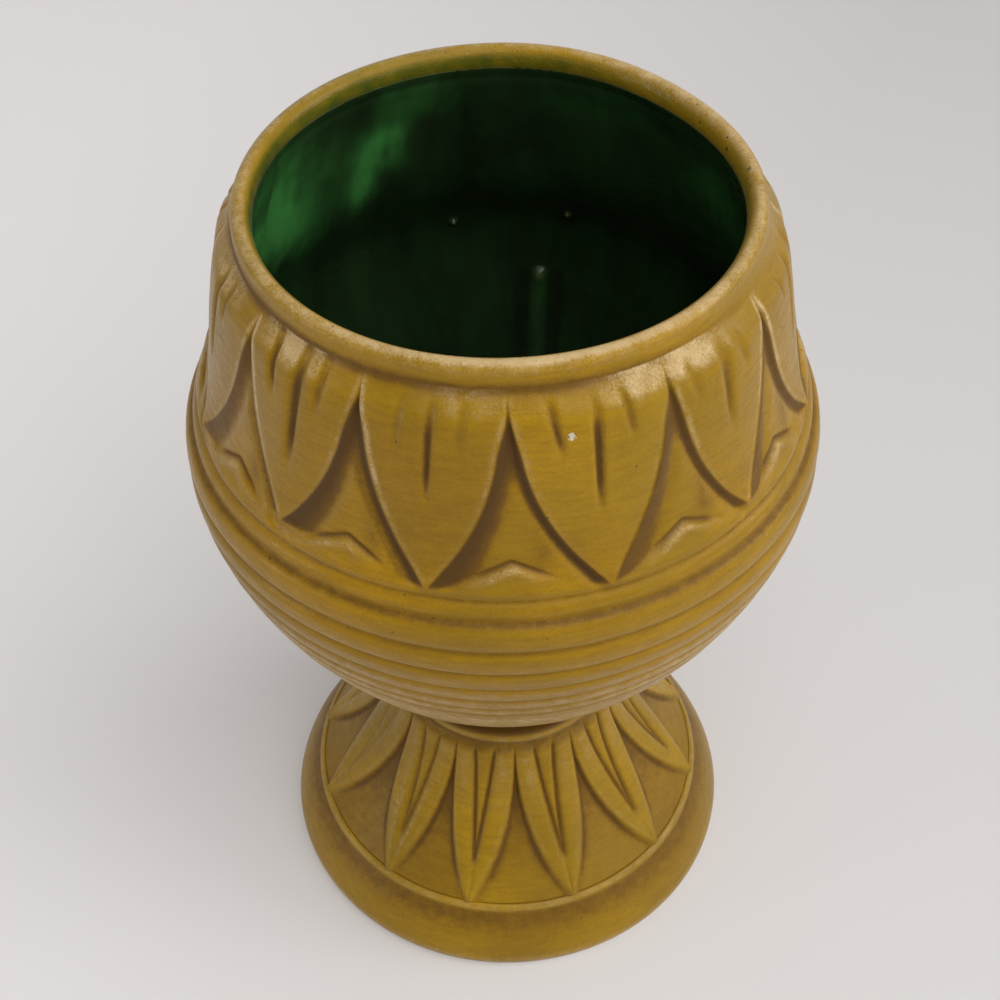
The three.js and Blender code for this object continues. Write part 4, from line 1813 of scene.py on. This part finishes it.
class Effect:
    """A group of shader nodes that several finishes use, built once."""

    name: ClassVar[str] = ""
    takes: ClassVar[dict[str, str]] = {}
    gives: ClassVar[dict[str, str]] = {}

    def tree(self) -> bpy.types.NodeTree:
        """Finds the group, or builds it the first time.

        Returns:
            The group.
        """
        found = bpy.data.node_groups.get(self.name)
        if found is not None:
            return found
        tree = bpy.data.node_groups.new(self.name, "ShaderNodeTree")
        for name, kind in self.takes.items():
            tree.interface.new_socket(name=name, in_out="INPUT", socket_type=SOCKETS[kind])
        for name, kind in self.gives.items():
            tree.interface.new_socket(name=name, in_out="OUTPUT", socket_type=SOCKETS[kind])
        source = tree.nodes.new("NodeGroupInput")
        target = tree.nodes.new("NodeGroupOutput")
        for name, socket in self.wire(Nodes(tree), source.outputs).items():
            tree.links.new(socket, target.inputs[name])
        return tree

    def wire(self, nodes: Nodes, given: Any) -> dict[str, Socket]:
        """Adds the group's nodes.

        Args:
            nodes: adds nodes to the group.
            given: the group's inputs, by name.

        Returns:
            The output for each name that the group gives.
        """
        raise NotImplementedError


class BrushGrain(Effect):
    """Level streaks, as a brush and the turning wheel leave them, over an uneven satin skin."""

    name = "brush_grain"
    takes = {"Place": "vector", "Streaks": "value", "Lumps": "value", "Pits": "value"}
    gives = {"Grain": "value", "Height": "value"}

    def wire(self, nodes: Nodes, given: Any) -> dict[str, Socket]:
        """Stretches noise round the vase, and adds lumps and finer pits to the height.

        Args:
            nodes: adds nodes to the group.
            given: the group's inputs, by name.

        Returns:
            The grain and the height.
        """
        flat = nodes.add("Mapping", {"Vector": given["Place"], "Scale": (0.14, 0.14, 1.0)})
        streaks = nodes.noise(flat.outputs[0], given["Streaks"], 3.0)
        lumps = nodes.noise(given["Place"], given["Lumps"], 3.0)
        pits = nodes.noise(given["Place"], given["Pits"], 2.0)
        height = nodes.maths("MULTIPLY_ADD", streaks, 0.2, nodes.times(lumps, 0.6))
        grain = nodes.maths("MULTIPLY_ADD", pits, 0.4, nodes.times(streaks, 0.6))
        return {"Grain": grain, "Height": nodes.maths("MULTIPLY_ADD", pits, 0.42, height)}


class Mottle(Effect):
    """Slow drift between two tones, as glaze of uneven thickness shows."""

    name = "mottle"
    takes = {"Place": "vector", "Thin": "colour", "Thick": "colour", "Patches": "value"}
    gives = {"Colour": "colour"}

    def wire(self, nodes: Nodes, given: Any) -> dict[str, Socket]:
        """Mixes the two tones by soft noise in patches.

        Args:
            nodes: adds nodes to the group.
            given: the group's inputs, by name.

        Returns:
            The mixed colour.
        """
        broad = nodes.noise(given["Place"], given["Patches"], 4.0)
        share = nodes.spread(broad, 0.36, 0.64)
        return {"Colour": nodes.blend(share, given["Thin"], given["Thick"])}


class Specks(Effect):
    """Scattered small dots, such as iron spots, pinholes and chips."""

    name = "specks"
    takes = {"Place": "vector", "Spacing": "value", "Size": "value", "Rarity": "value"}
    gives = {"Mask": "value"}

    def wire(self, nodes: Nodes, given: Any) -> dict[str, Socket]:
        """Puts a dot of its own size in some cells of a random pattern.

        Args:
            nodes: adds nodes to the group.
            given: the group's inputs, by name.

        Returns:
            The dots' mask.
        """
        cells = nodes.add("TexVoronoi", {"Vector": given["Place"], "Scale": given["Spacing"]})
        dice = nodes.add("SeparateColor", {0: cells.outputs["Color"]}).outputs
        size = nodes.times(given["Size"], dice[1])
        dot = nodes.maths("LESS_THAN", cells.outputs["Distance"], size)
        some = nodes.maths("GREATER_THAN", dice[0], given["Rarity"])
        return {"Mask": nodes.times(dot, some)}


class Chips(Effect):
    """One ragged chip, where the colour has come off down to pale clay."""

    name = "chip"
    takes = {"Place": "vector", "Middle": "vector", "Size": "value"}
    gives = {"Mask": "value"}

    def wire(self, nodes: Nodes, given: Any) -> dict[str, Socket]:
        """Marks what lies nearer to the chip's middle than an uneven distance.

        Args:
            nodes: adds nodes to the group.
            given: the group's inputs, by name.

        Returns:
            The chip's mask.
        """
        inputs = {0: given["Place"], 1: given["Middle"]}
        apart = nodes.add("VectorMath", inputs, operation="DISTANCE").outputs["Value"]
        ragged = nodes.maths("MULTIPLY_ADD", nodes.noise(given["Place"], 2300.0), 3.0, -0.6)
        reach = nodes.times(given["Size"], ragged)
        return {"Mask": nodes.maths("LESS_THAN", apart, reach)}


class BrokenEdge(Effect):
    """Breaks the soft border of a mask into clouds and fine dots, as rubbed colour is."""

    name = "broken_edge"
    takes = {"Place": "vector", "Mask": "value", "Dots": "value", "Looseness": "value"}
    gives = {"Mask": "value"}

    def wire(self, nodes: Nodes, given: Any) -> dict[str, Socket]:
        """Adds noise where the mask is neither empty nor full.

        Args:
            nodes: adds nodes to the group.
            given: the group's inputs, by name.

        Returns:
            The broken mask.
        """
        dots = nodes.noise(given["Place"], given["Dots"], 2.0)
        clouds = nodes.noise(given["Place"], nodes.times(given["Dots"], 0.16), 3.0)
        loose = nodes.maths("SUBTRACT", nodes.maths("ADD", dots, clouds), 1.0)
        border = nodes.times(given["Mask"], nodes.maths("SUBTRACT", 1.0, given["Mask"]))
        amount = nodes.times(nodes.times(border, 4.0), given["Looseness"])
        broken = nodes.maths("MULTIPLY_ADD", amount, loose, given["Mask"], clamped=True)
        return {"Mask": broken}


def linear(tone: Tone) -> tuple[float, float, float, float]:
    """A colour as a shader holds it.

    Args:
        tone: red, green and blue from 0 to 255, as a screen shows them.

    Returns:
        The colour's linear values with an alpha of 1.
    """
    shares = [value / 255.0 for value in tone]
    values = [s / 12.92 if s <= 0.04045 else ((s + 0.055) / 1.055) ** 2.4 for s in shares]
    return (*values, 1.0)


def new_material(name: str) -> tuple[bpy.types.Material, Nodes]:
    """Makes an empty material.

    Args:
        name: its name.

    Returns:
        The material, and what adds its nodes.
    """
    material = bpy.data.materials.new(name)
    material.use_nodes = True
    material.node_tree.nodes.clear()
    return material, Nodes(material.node_tree)


@dataclass(frozen=True)
class MustardCeramic:
    """Satin mustard colour over a brown wash, rubbed pale on the edges, on buff clay. The same pale paints
    highlights on the petals' crowns and chevron shelves and a sheen on the belly's sides.

    The inner half of the lip is glazed: its colour turns olive and its skin glossy.
    """

    name: str
    golden: Tone = (180, 137, 8)
    olive: Tone = (158, 124, 10)
    stain: Tone = (122, 86, 8)
    wash: Tone = (80, 53, 12)
    # Pale of rubbed colour, also used for painted highlights and sheen.
    pale: Tone = (210, 182, 132)
    glazed: Tone = (108, 102, 22)
    green: Tone = (52, 74, 18)
    fleck: Tone = (30, 36, 14)
    clay: Tone = (196, 178, 150)
    speck: Tone = (58, 44, 28)
    chip: Tone = (216, 210, 190)
    chips: Sequence[tuple[Triple, float]] = ()
    patches: float = 26.0
    streaks: float = 1000.0
    lumps: float = 340.0
    pits: float = 1500.0
    stipple: float = 2200.0
    roughness: float = 0.29
    glazed_roughness: float = 0.18
    skin_height: float = 0.28 * MM
    wash_looseness: float = 0.38
    pale_looseness: float = 1.5
    creep: float = 170.0

    def build(self) -> bpy.types.Material:
        """Makes the material.

        Returns:
            The material, ready for a piece with wash, worn, bare, glazed and flecked masks.
        """
        material, nodes = new_material(self.name)
        place = nodes.add("TexCoord").outputs["Object"]
        bare, glazed = (nodes.mask(name) for name in ("bare", "glazed"))
        inputs = {"Place": place, "Streaks": self.streaks, "Lumps": self.lumps, "Pits": self.pits}
        grain = nodes.group(BrushGrain(), inputs)
        wash = self._broken(nodes, place, "wash", self.wash_looseness)
        worn = self._broken(nodes, place, "worn", self.pale_looseness)
        tone = self._tone(nodes, place, grain.outputs["Grain"], wash, worn)
        tone = nodes.blend(nodes.times(glazed, 0.8), tone, linear(self.glazed))
        creep = nodes.maths("MULTIPLY_ADD", nodes.noise(place, self.creep, 4.0), 1.6, glazed)
        creep = nodes.spread(creep, 1.25, 2.1, 0.0, 0.85)
        tone = nodes.blend(nodes.times(creep, glazed), tone, linear(self.green))
        inputs = {"Place": place, "Spacing": 560.0, "Size": 0.34, "Rarity": 0.5}
        drips = nodes.times(nodes.group(Specks(), inputs).outputs["Mask"], nodes.mask("flecked"))
        tone = nodes.blend(nodes.times(drips, 0.85), tone, linear(self.fleck))
        tone = nodes.blend(bare, tone, linear(self.clay))
        gloss = nodes.spread(
            grain.outputs["Grain"], 0.3, 0.7, self.roughness - 0.06, self.roughness + 0.08
        )
        gloss = nodes.maths("MULTIPLY_ADD", wash, 0.3, gloss)
        gloss = nodes.maths("MULTIPLY_ADD", bare, 0.3, gloss)
        gloss = nodes.add("Mix", {0: glazed, 2: gloss, 3: self.glazed_roughness}).outputs[0]
        bump = nodes.add(
            "Bump",
            {"Height": grain.outputs["Height"], "Strength": 1.0, "Distance": self.skin_height},
        )
        shader = nodes.add(
            "BsdfPrincipled",
            {
                "Base Color": tone,
                "Roughness": gloss,
                "Normal": bump.outputs[0],
                "IOR": 1.5,
                "Specular IOR Level": 0.2,
                "Sheen Weight": 0.05,
                "Sheen Roughness": 0.5,
            },
        )
        nodes.add("OutputMaterial", {"Surface": shader.outputs[0]})
        return material

    def _broken(
        self, nodes: Nodes, place: Socket, mask: str, looseness: float
    ) -> Socket:
        """One of the piece's masks with its soft borders broken up.

        Args:
            nodes: adds nodes to the material.
            place: the output that holds the place.
            mask: the mask's name.
            looseness: how far the borders break up.

        Returns:
            The output that holds the broken mask.
        """
        inputs = {
            "Place": place,
            "Mask": nodes.mask(mask),
            "Dots": self.stipple,
            "Looseness": looseness,
        }
        return nodes.group(BrokenEdge(), inputs).outputs["Mask"]

    def _tone(
        self,
        nodes: Nodes,
        place: Socket,
        grain: Socket,
        wash: Socket,
        worn: Socket,
    ) -> Socket:
        """The colour of the fired surface, layer over layer.

        Args:
            nodes: adds nodes to the material.
            place: the output that holds the place.
            grain: the streaks.
            wash: share of the brown wash.
            worn: share of rubbed colour, painted highlight and painted sheen.

        Returns:
            The output that holds the colour.
        """
        inputs = {
            "Place": place,
            "Thin": linear(self.golden),
            "Thick": linear(self.olive),
            "Patches": self.patches,
        }
        tone = nodes.group(Mottle(), inputs).outputs["Colour"]
        tone = nodes.blend(nodes.spread(grain, 0.38, 0.66, 0.0, 0.42), tone, linear(self.stain))
        thin = nodes.spread(wash, 0.0, 0.65)
        tone = nodes.blend(nodes.times(thin, 0.92), tone, linear(self.stain))
        thick = nodes.spread(wash, 0.4, 1.0)
        tone = nodes.blend(thick, tone, linear(self.wash))
        # Rubbed colour, painted highlights and painted sheen, in one pale.
        tone = nodes.blend(worn, tone, linear(self.pale))
        for spacing, size, rarity, share, colour in (
            (330.0, 0.1, 0.88, 0.7, self.speck),
            (170.0, 0.07, 0.94, 0.8, self.chip),
        ):
            inputs = {"Place": place, "Spacing": spacing, "Size": size, "Rarity": rarity}
            dots = nodes.group(Specks(), inputs).outputs["Mask"]
            tone = nodes.blend(nodes.times(dots, share), tone, linear(colour))
        for middle, size in self.chips:
            inputs = {"Place": place, "Middle": middle, "Size": size}
            mask = nodes.group(Chips(), inputs).outputs["Mask"]
            tone = nodes.blend(nodes.times(mask, 0.9), tone, linear(self.chip))
        return tone


@dataclass(frozen=True)
class GreenGlaze:
    """Deep green gloss, brighter where it is thin and where light is painted in, with a painted highlight
    on the run and bumps, olive where it meets the lip.
    """

    name: str
    deep: Tone = (21, 26, 15)
    mid: Tone = (34, 50, 27)
    # Bright green of thin glaze and of painted light.
    emerald: Tone = (70, 144, 70)
    # Colour of the painted highlight on the run's head and the bumps.
    ridge: Tone = (96, 112, 66)
    olive: Tone = (52, 60, 20)
    edge_level: float = 224.1 * MM
    edge_width: float = 0.9 * MM
    patches: float = 60.0
    streaks: float = 170.0
    dots: float = 900.0
    drift: float = 34.0
    edge_waves: float = 260.0
    gloss_patches: float = 90.0
    roughness: float = 0.2

    def build(self) -> bpy.types.Material:
        """Makes the material.

        Returns:
            The material for the lining, which has a mask where its glaze is thin.
        """
        material, nodes = new_material(self.name)
        place = nodes.add("TexCoord").outputs["Object"]
        tall = nodes.add("Mapping", {"Vector": place, "Scale": (1.0, 1.0, 0.22)}).outputs[0]
        streaks = nodes.noise(tall, self.streaks, 3.0)
        cloud = nodes.noise(place, self.patches, 3.0)
        uneven = nodes.maths("MULTIPLY_ADD", streaks, 0.7, nodes.times(cloud, 0.9))
        uneven = nodes.spread(uneven, 0.55, 1.05, 0.2, 1.5)
        # The thin mask holds thin glaze and painted light, which turn the colour emerald.
        thin = nodes.maths("MULTIPLY", nodes.mask("thin"), uneven, clamped=True)
        inputs = {
            "Place": tall,
            "Thin": linear(self.mid),
            "Thick": linear(self.deep),
            "Patches": self.drift,
        }
        tone = nodes.group(Mottle(), inputs).outputs["Colour"]
        tone = nodes.blend(thin, tone, linear(self.emerald))
        # Painted highlight on the run's head and the bumps, in the ridge tone.
        ridge = nodes.maths("MULTIPLY", nodes.mask("run"), 0.8, clamped=True)
        tone = nodes.blend(ridge, tone, linear(self.ridge))
        level = nodes.add("SeparateXYZ", {0: place}).outputs[2]
        wave = nodes.maths("SUBTRACT", nodes.noise(place, self.edge_waves), 0.5)
        wave = nodes.times(wave, 3.0 * MM)
        edge = nodes.spread(
            nodes.maths("ADD", level, wave), self.edge_level - self.edge_width, self.edge_level
        )
        inputs = {"Place": place, "Mask": edge, "Dots": self.dots, "Looseness": 1.2}
        edge = nodes.group(BrokenEdge(), inputs).outputs["Mask"]
        tone = nodes.blend(edge, tone, linear(self.olive))
        gloss = nodes.spread(
            nodes.noise(place, self.gloss_patches), 0.35, 0.65, self.roughness - 0.05, self.roughness + 0.08
        )
        shader = nodes.add(
            "BsdfPrincipled",
            {
                "Base Color": tone,
                "Roughness": gloss,
                "IOR": 1.5,
                "Specular IOR Level": 0.36,
            },
        )
        nodes.add("OutputMaterial", {"Surface": shader.outputs[0]})
        return material


@dataclass
class Viewpoint:
    """The camera, where the photograph was taken from."""

    place: Triple = (0.24 * MM, -296.96 * MM, 446.8 * MM)
    pitch: float = 46.95
    yaw: float = -0.234
    roll: float = -0.933
    lens: float = 60.03
    sensor: float = 36.0

    def build(self) -> bpy.types.Object:
        """Makes the camera and gives it to the scene.

        Returns:
            The camera.
        """
        pitch, yaw, roll = (math.radians(angle) for angle in (self.pitch, self.yaw, self.roll))
        ahead = Vector((math.sin(yaw) * math.cos(pitch), math.cos(yaw) * math.cos(pitch), -math.sin(pitch)))
        level = Vector((math.cos(yaw), -math.sin(yaw), 0.0))
        above = level.cross(ahead)
        right = math.cos(roll) * level + math.sin(roll) * above
        up = -math.sin(roll) * level + math.cos(roll) * above
        data = bpy.data.cameras.new("viewpoint")
        data.sensor_width = self.sensor
        data.lens = self.lens
        data.clip_start = 0.01
        camera = bpy.data.objects.new("viewpoint", data)
        facing = Matrix((right, up, -ahead)).transposed().to_4x4()
        camera.matrix_world = Matrix.Translation(self.place) @ facing
        bpy.context.scene.collection.objects.link(camera)
        bpy.context.scene.camera = camera
        return camera


@dataclass(frozen=True)
class Softbox:
    """One soft lamp, aimed at the vase."""

    name: str
    place: Triple
    size: float
    power: float
    tint: Triple = (1.0, 1.0, 1.0)
    beam: float = 180.0
    aim: Triple = (0.0, 0.0, 0.13)

    def build(self) -> bpy.types.Object:
        """Makes the lamp.

        Returns:
            The lamp.
        """
        data = bpy.data.lights.new(self.name, "AREA")
        data.shape = "DISK"
        data.size = self.size
        data.energy = self.power
        data.spread = math.radians(self.beam)
        data.color = self.tint
        lamp = bpy.data.objects.new(self.name, data)
        lamp.location = self.place
        lamp.rotation_mode = "QUATERNION"
        lamp.rotation_quaternion = (Vector(self.aim) - Vector(self.place)).to_track_quat("-Z", "Y")
        bpy.context.scene.collection.objects.link(lamp)
        return lamp


@dataclass
class Studio:
    """The pale floor, the pale surroundings and the soft lamps."""

    floor_radius: float = 3.0
    floor_tone: Tone = (229, 227, 228)
    far_floor_tone: Tone = (196, 194, 194)
    floor_lift: float = 0.17
    far_floor_lift: float = 0.3
    shade_start: float = -0.3
    shade_end: float = 0.45
    lift_end: float = 0.35
    room_tone: Tone = (216, 213, 211)
    room_light: float = 0.52
    lamps: Sequence[Softbox] = (
        Softbox("window_right", (1.6, -0.1, 0.75), size=0.8, power=7.0, tint=(1.0, 0.99, 0.97)),
        Softbox("low_right", (1.2, -0.95, 0.3), size=0.16, power=0.12, tint=(1.0, 0.99, 0.97), beam=60.0),
        Softbox("low_left", (-1.5, -0.5, 0.28), size=0.16, power=0.26, tint=(0.97, 0.985, 1.0), beam=60.0),
        Softbox("ceiling", (0.65, -0.75, 1.65), size=2.2, power=22.0, tint=(1.0, 0.995, 0.985)),
    )

    def build(self) -> None:
        """Makes the floor, the surroundings and the lamps."""
        self._floor()
        self._room()
        for lamp in self.lamps:
            lamp.build()
        bpy.context.scene.view_settings.view_transform = "Standard"

    def _floor(self) -> None:
        """Makes the round floor that the vase stands on; its colour is painted darker to the right and
        back, and its glow for the camera brighter to the left and back: painted light and shade, which also
        lightens the vase's shadow.
        """
        turns = np.linspace(0.0, 2.0 * math.pi, 97)[:-1]
        points = [(self.floor_radius * math.cos(t), self.floor_radius * math.sin(t), 0.0) for t in turns]
        mesh = bpy.data.meshes.new("floor")
        mesh.from_pydata(points, [], [tuple(range(len(points)))])
        material = bpy.data.materials.new("pale_floor")
        material.use_nodes = True
        nodes = Nodes(material.node_tree)
        shader = material.node_tree.nodes["Principled BSDF"]
        place = nodes.add("TexCoord").outputs["Object"]
        sides = nodes.add("SeparateXYZ", {0: place}).outputs
        # Painted shade: the floor darkens to the right and back.
        along = nodes.maths("MULTIPLY_ADD", sides[1], 0.5, sides[0])
        share = nodes.spread(along, self.shade_start, self.shade_end)
        tone = nodes.blend(share, linear(self.floor_tone), linear(self.far_floor_tone))
        material.node_tree.links.new(tone, shader.inputs["Base Color"])
        # Painted light for the camera: the glow grows to the left and back and lightens the shadow there.
        away = nodes.maths("SUBTRACT", nodes.times(sides[1], 0.45), sides[0])
        lift = nodes.spread(away, 0.0, self.lift_end, self.floor_lift, self.far_floor_lift)
        strength = nodes.times(lift, nodes.seen())
        glow = nodes.blend(strength, (0, 0, 0, 1), linear(self.room_tone))
        material.node_tree.links.new(glow, shader.inputs["Emission Color"])
        shader.inputs["Emission Strength"].default_value = 1.0
        shader.inputs["Roughness"].default_value = 0.7
        shader.inputs["Specular IOR Level"].default_value = 0.2
        mesh.materials.append(material)
        floor = bpy.data.objects.new("floor", mesh)
        bpy.context.scene.collection.objects.link(floor)

    def _room(self) -> None:
        """Lights the scene evenly from all round, and shows a pale room to the camera."""
        world = bpy.data.worlds.new("room")
        world.use_nodes = True
        world.node_tree.nodes.clear()
        nodes = Nodes(world.node_tree)
        strength = nodes.spread(nodes.seen(), 0.0, 1.0, self.room_light, 1.0)
        back = nodes.add("Background", {"Color": linear(self.room_tone), "Strength": strength})
        nodes.add("OutputWorld", {"Surface": back.outputs[0]})
        bpy.context.scene.world = world


def dress(
    piece: bpy.types.Object, material: bpy.types.Material, slot: Slot, *nodes: str
) -> None:
    """Gives a piece its finish and its place in the frame, and reports it.

    Args:
        piece: the piece.
        material: its finish.
        slot: the record's slot for that finish; not used.
        nodes: the frame's nodes that it stands for.
    """
    piece.data.materials.append(material)
    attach(piece, BODY)
    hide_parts(*nodes)
    log.info("%s: %d faces, stands for %s", piece.name, len(piece.data.polygons), ", ".join(nodes))


BOWL_CHIPS = (((13.7 * MM, -62.6 * MM, 214.1 * MM), 0.85 * MM),)
FOOT_CHIPS = (
    ((29.1 * MM, -34.2 * MM, 30.0 * MM), 0.7 * MM),
    ((36.3 * MM, -32.1 * MM, 26.6 * MM), 0.7 * MM),
)


def main() -> None:
    """Builds the camera, the vase's pieces and the studio."""
    logging.basicConfig(level=logging.INFO, format="%(message)s")
    Viewpoint().build()
    levels = Levels.of_frame()
    outline = BowlOutline(levels)
    bowl_finish = MustardCeramic("bowl_mustard", chips=BOWL_CHIPS).build()
    foot_finish = MustardCeramic(
        "foot_mustard", golden=(178, 139, 12), olive=(152, 120, 16), chips=FOOT_CHIPS
    ).build()
    glaze = GreenGlaze("green_gloss").build()
    dress(Bowl(levels, outline).build(), bowl_finish, Slot.MUSTARD, "bowl")
    dress(Lining(outline).build(), glaze, Slot.GREEN, "inner_glaze")
    dress(SeamRing(levels).build(), foot_finish, Slot.MUSTARD, "neck_ring")
    dress(Foot(levels).build(), foot_finish, Slot.MUSTARD, "foot")
    Studio().build()


if __name__ == "__main__":
    main()
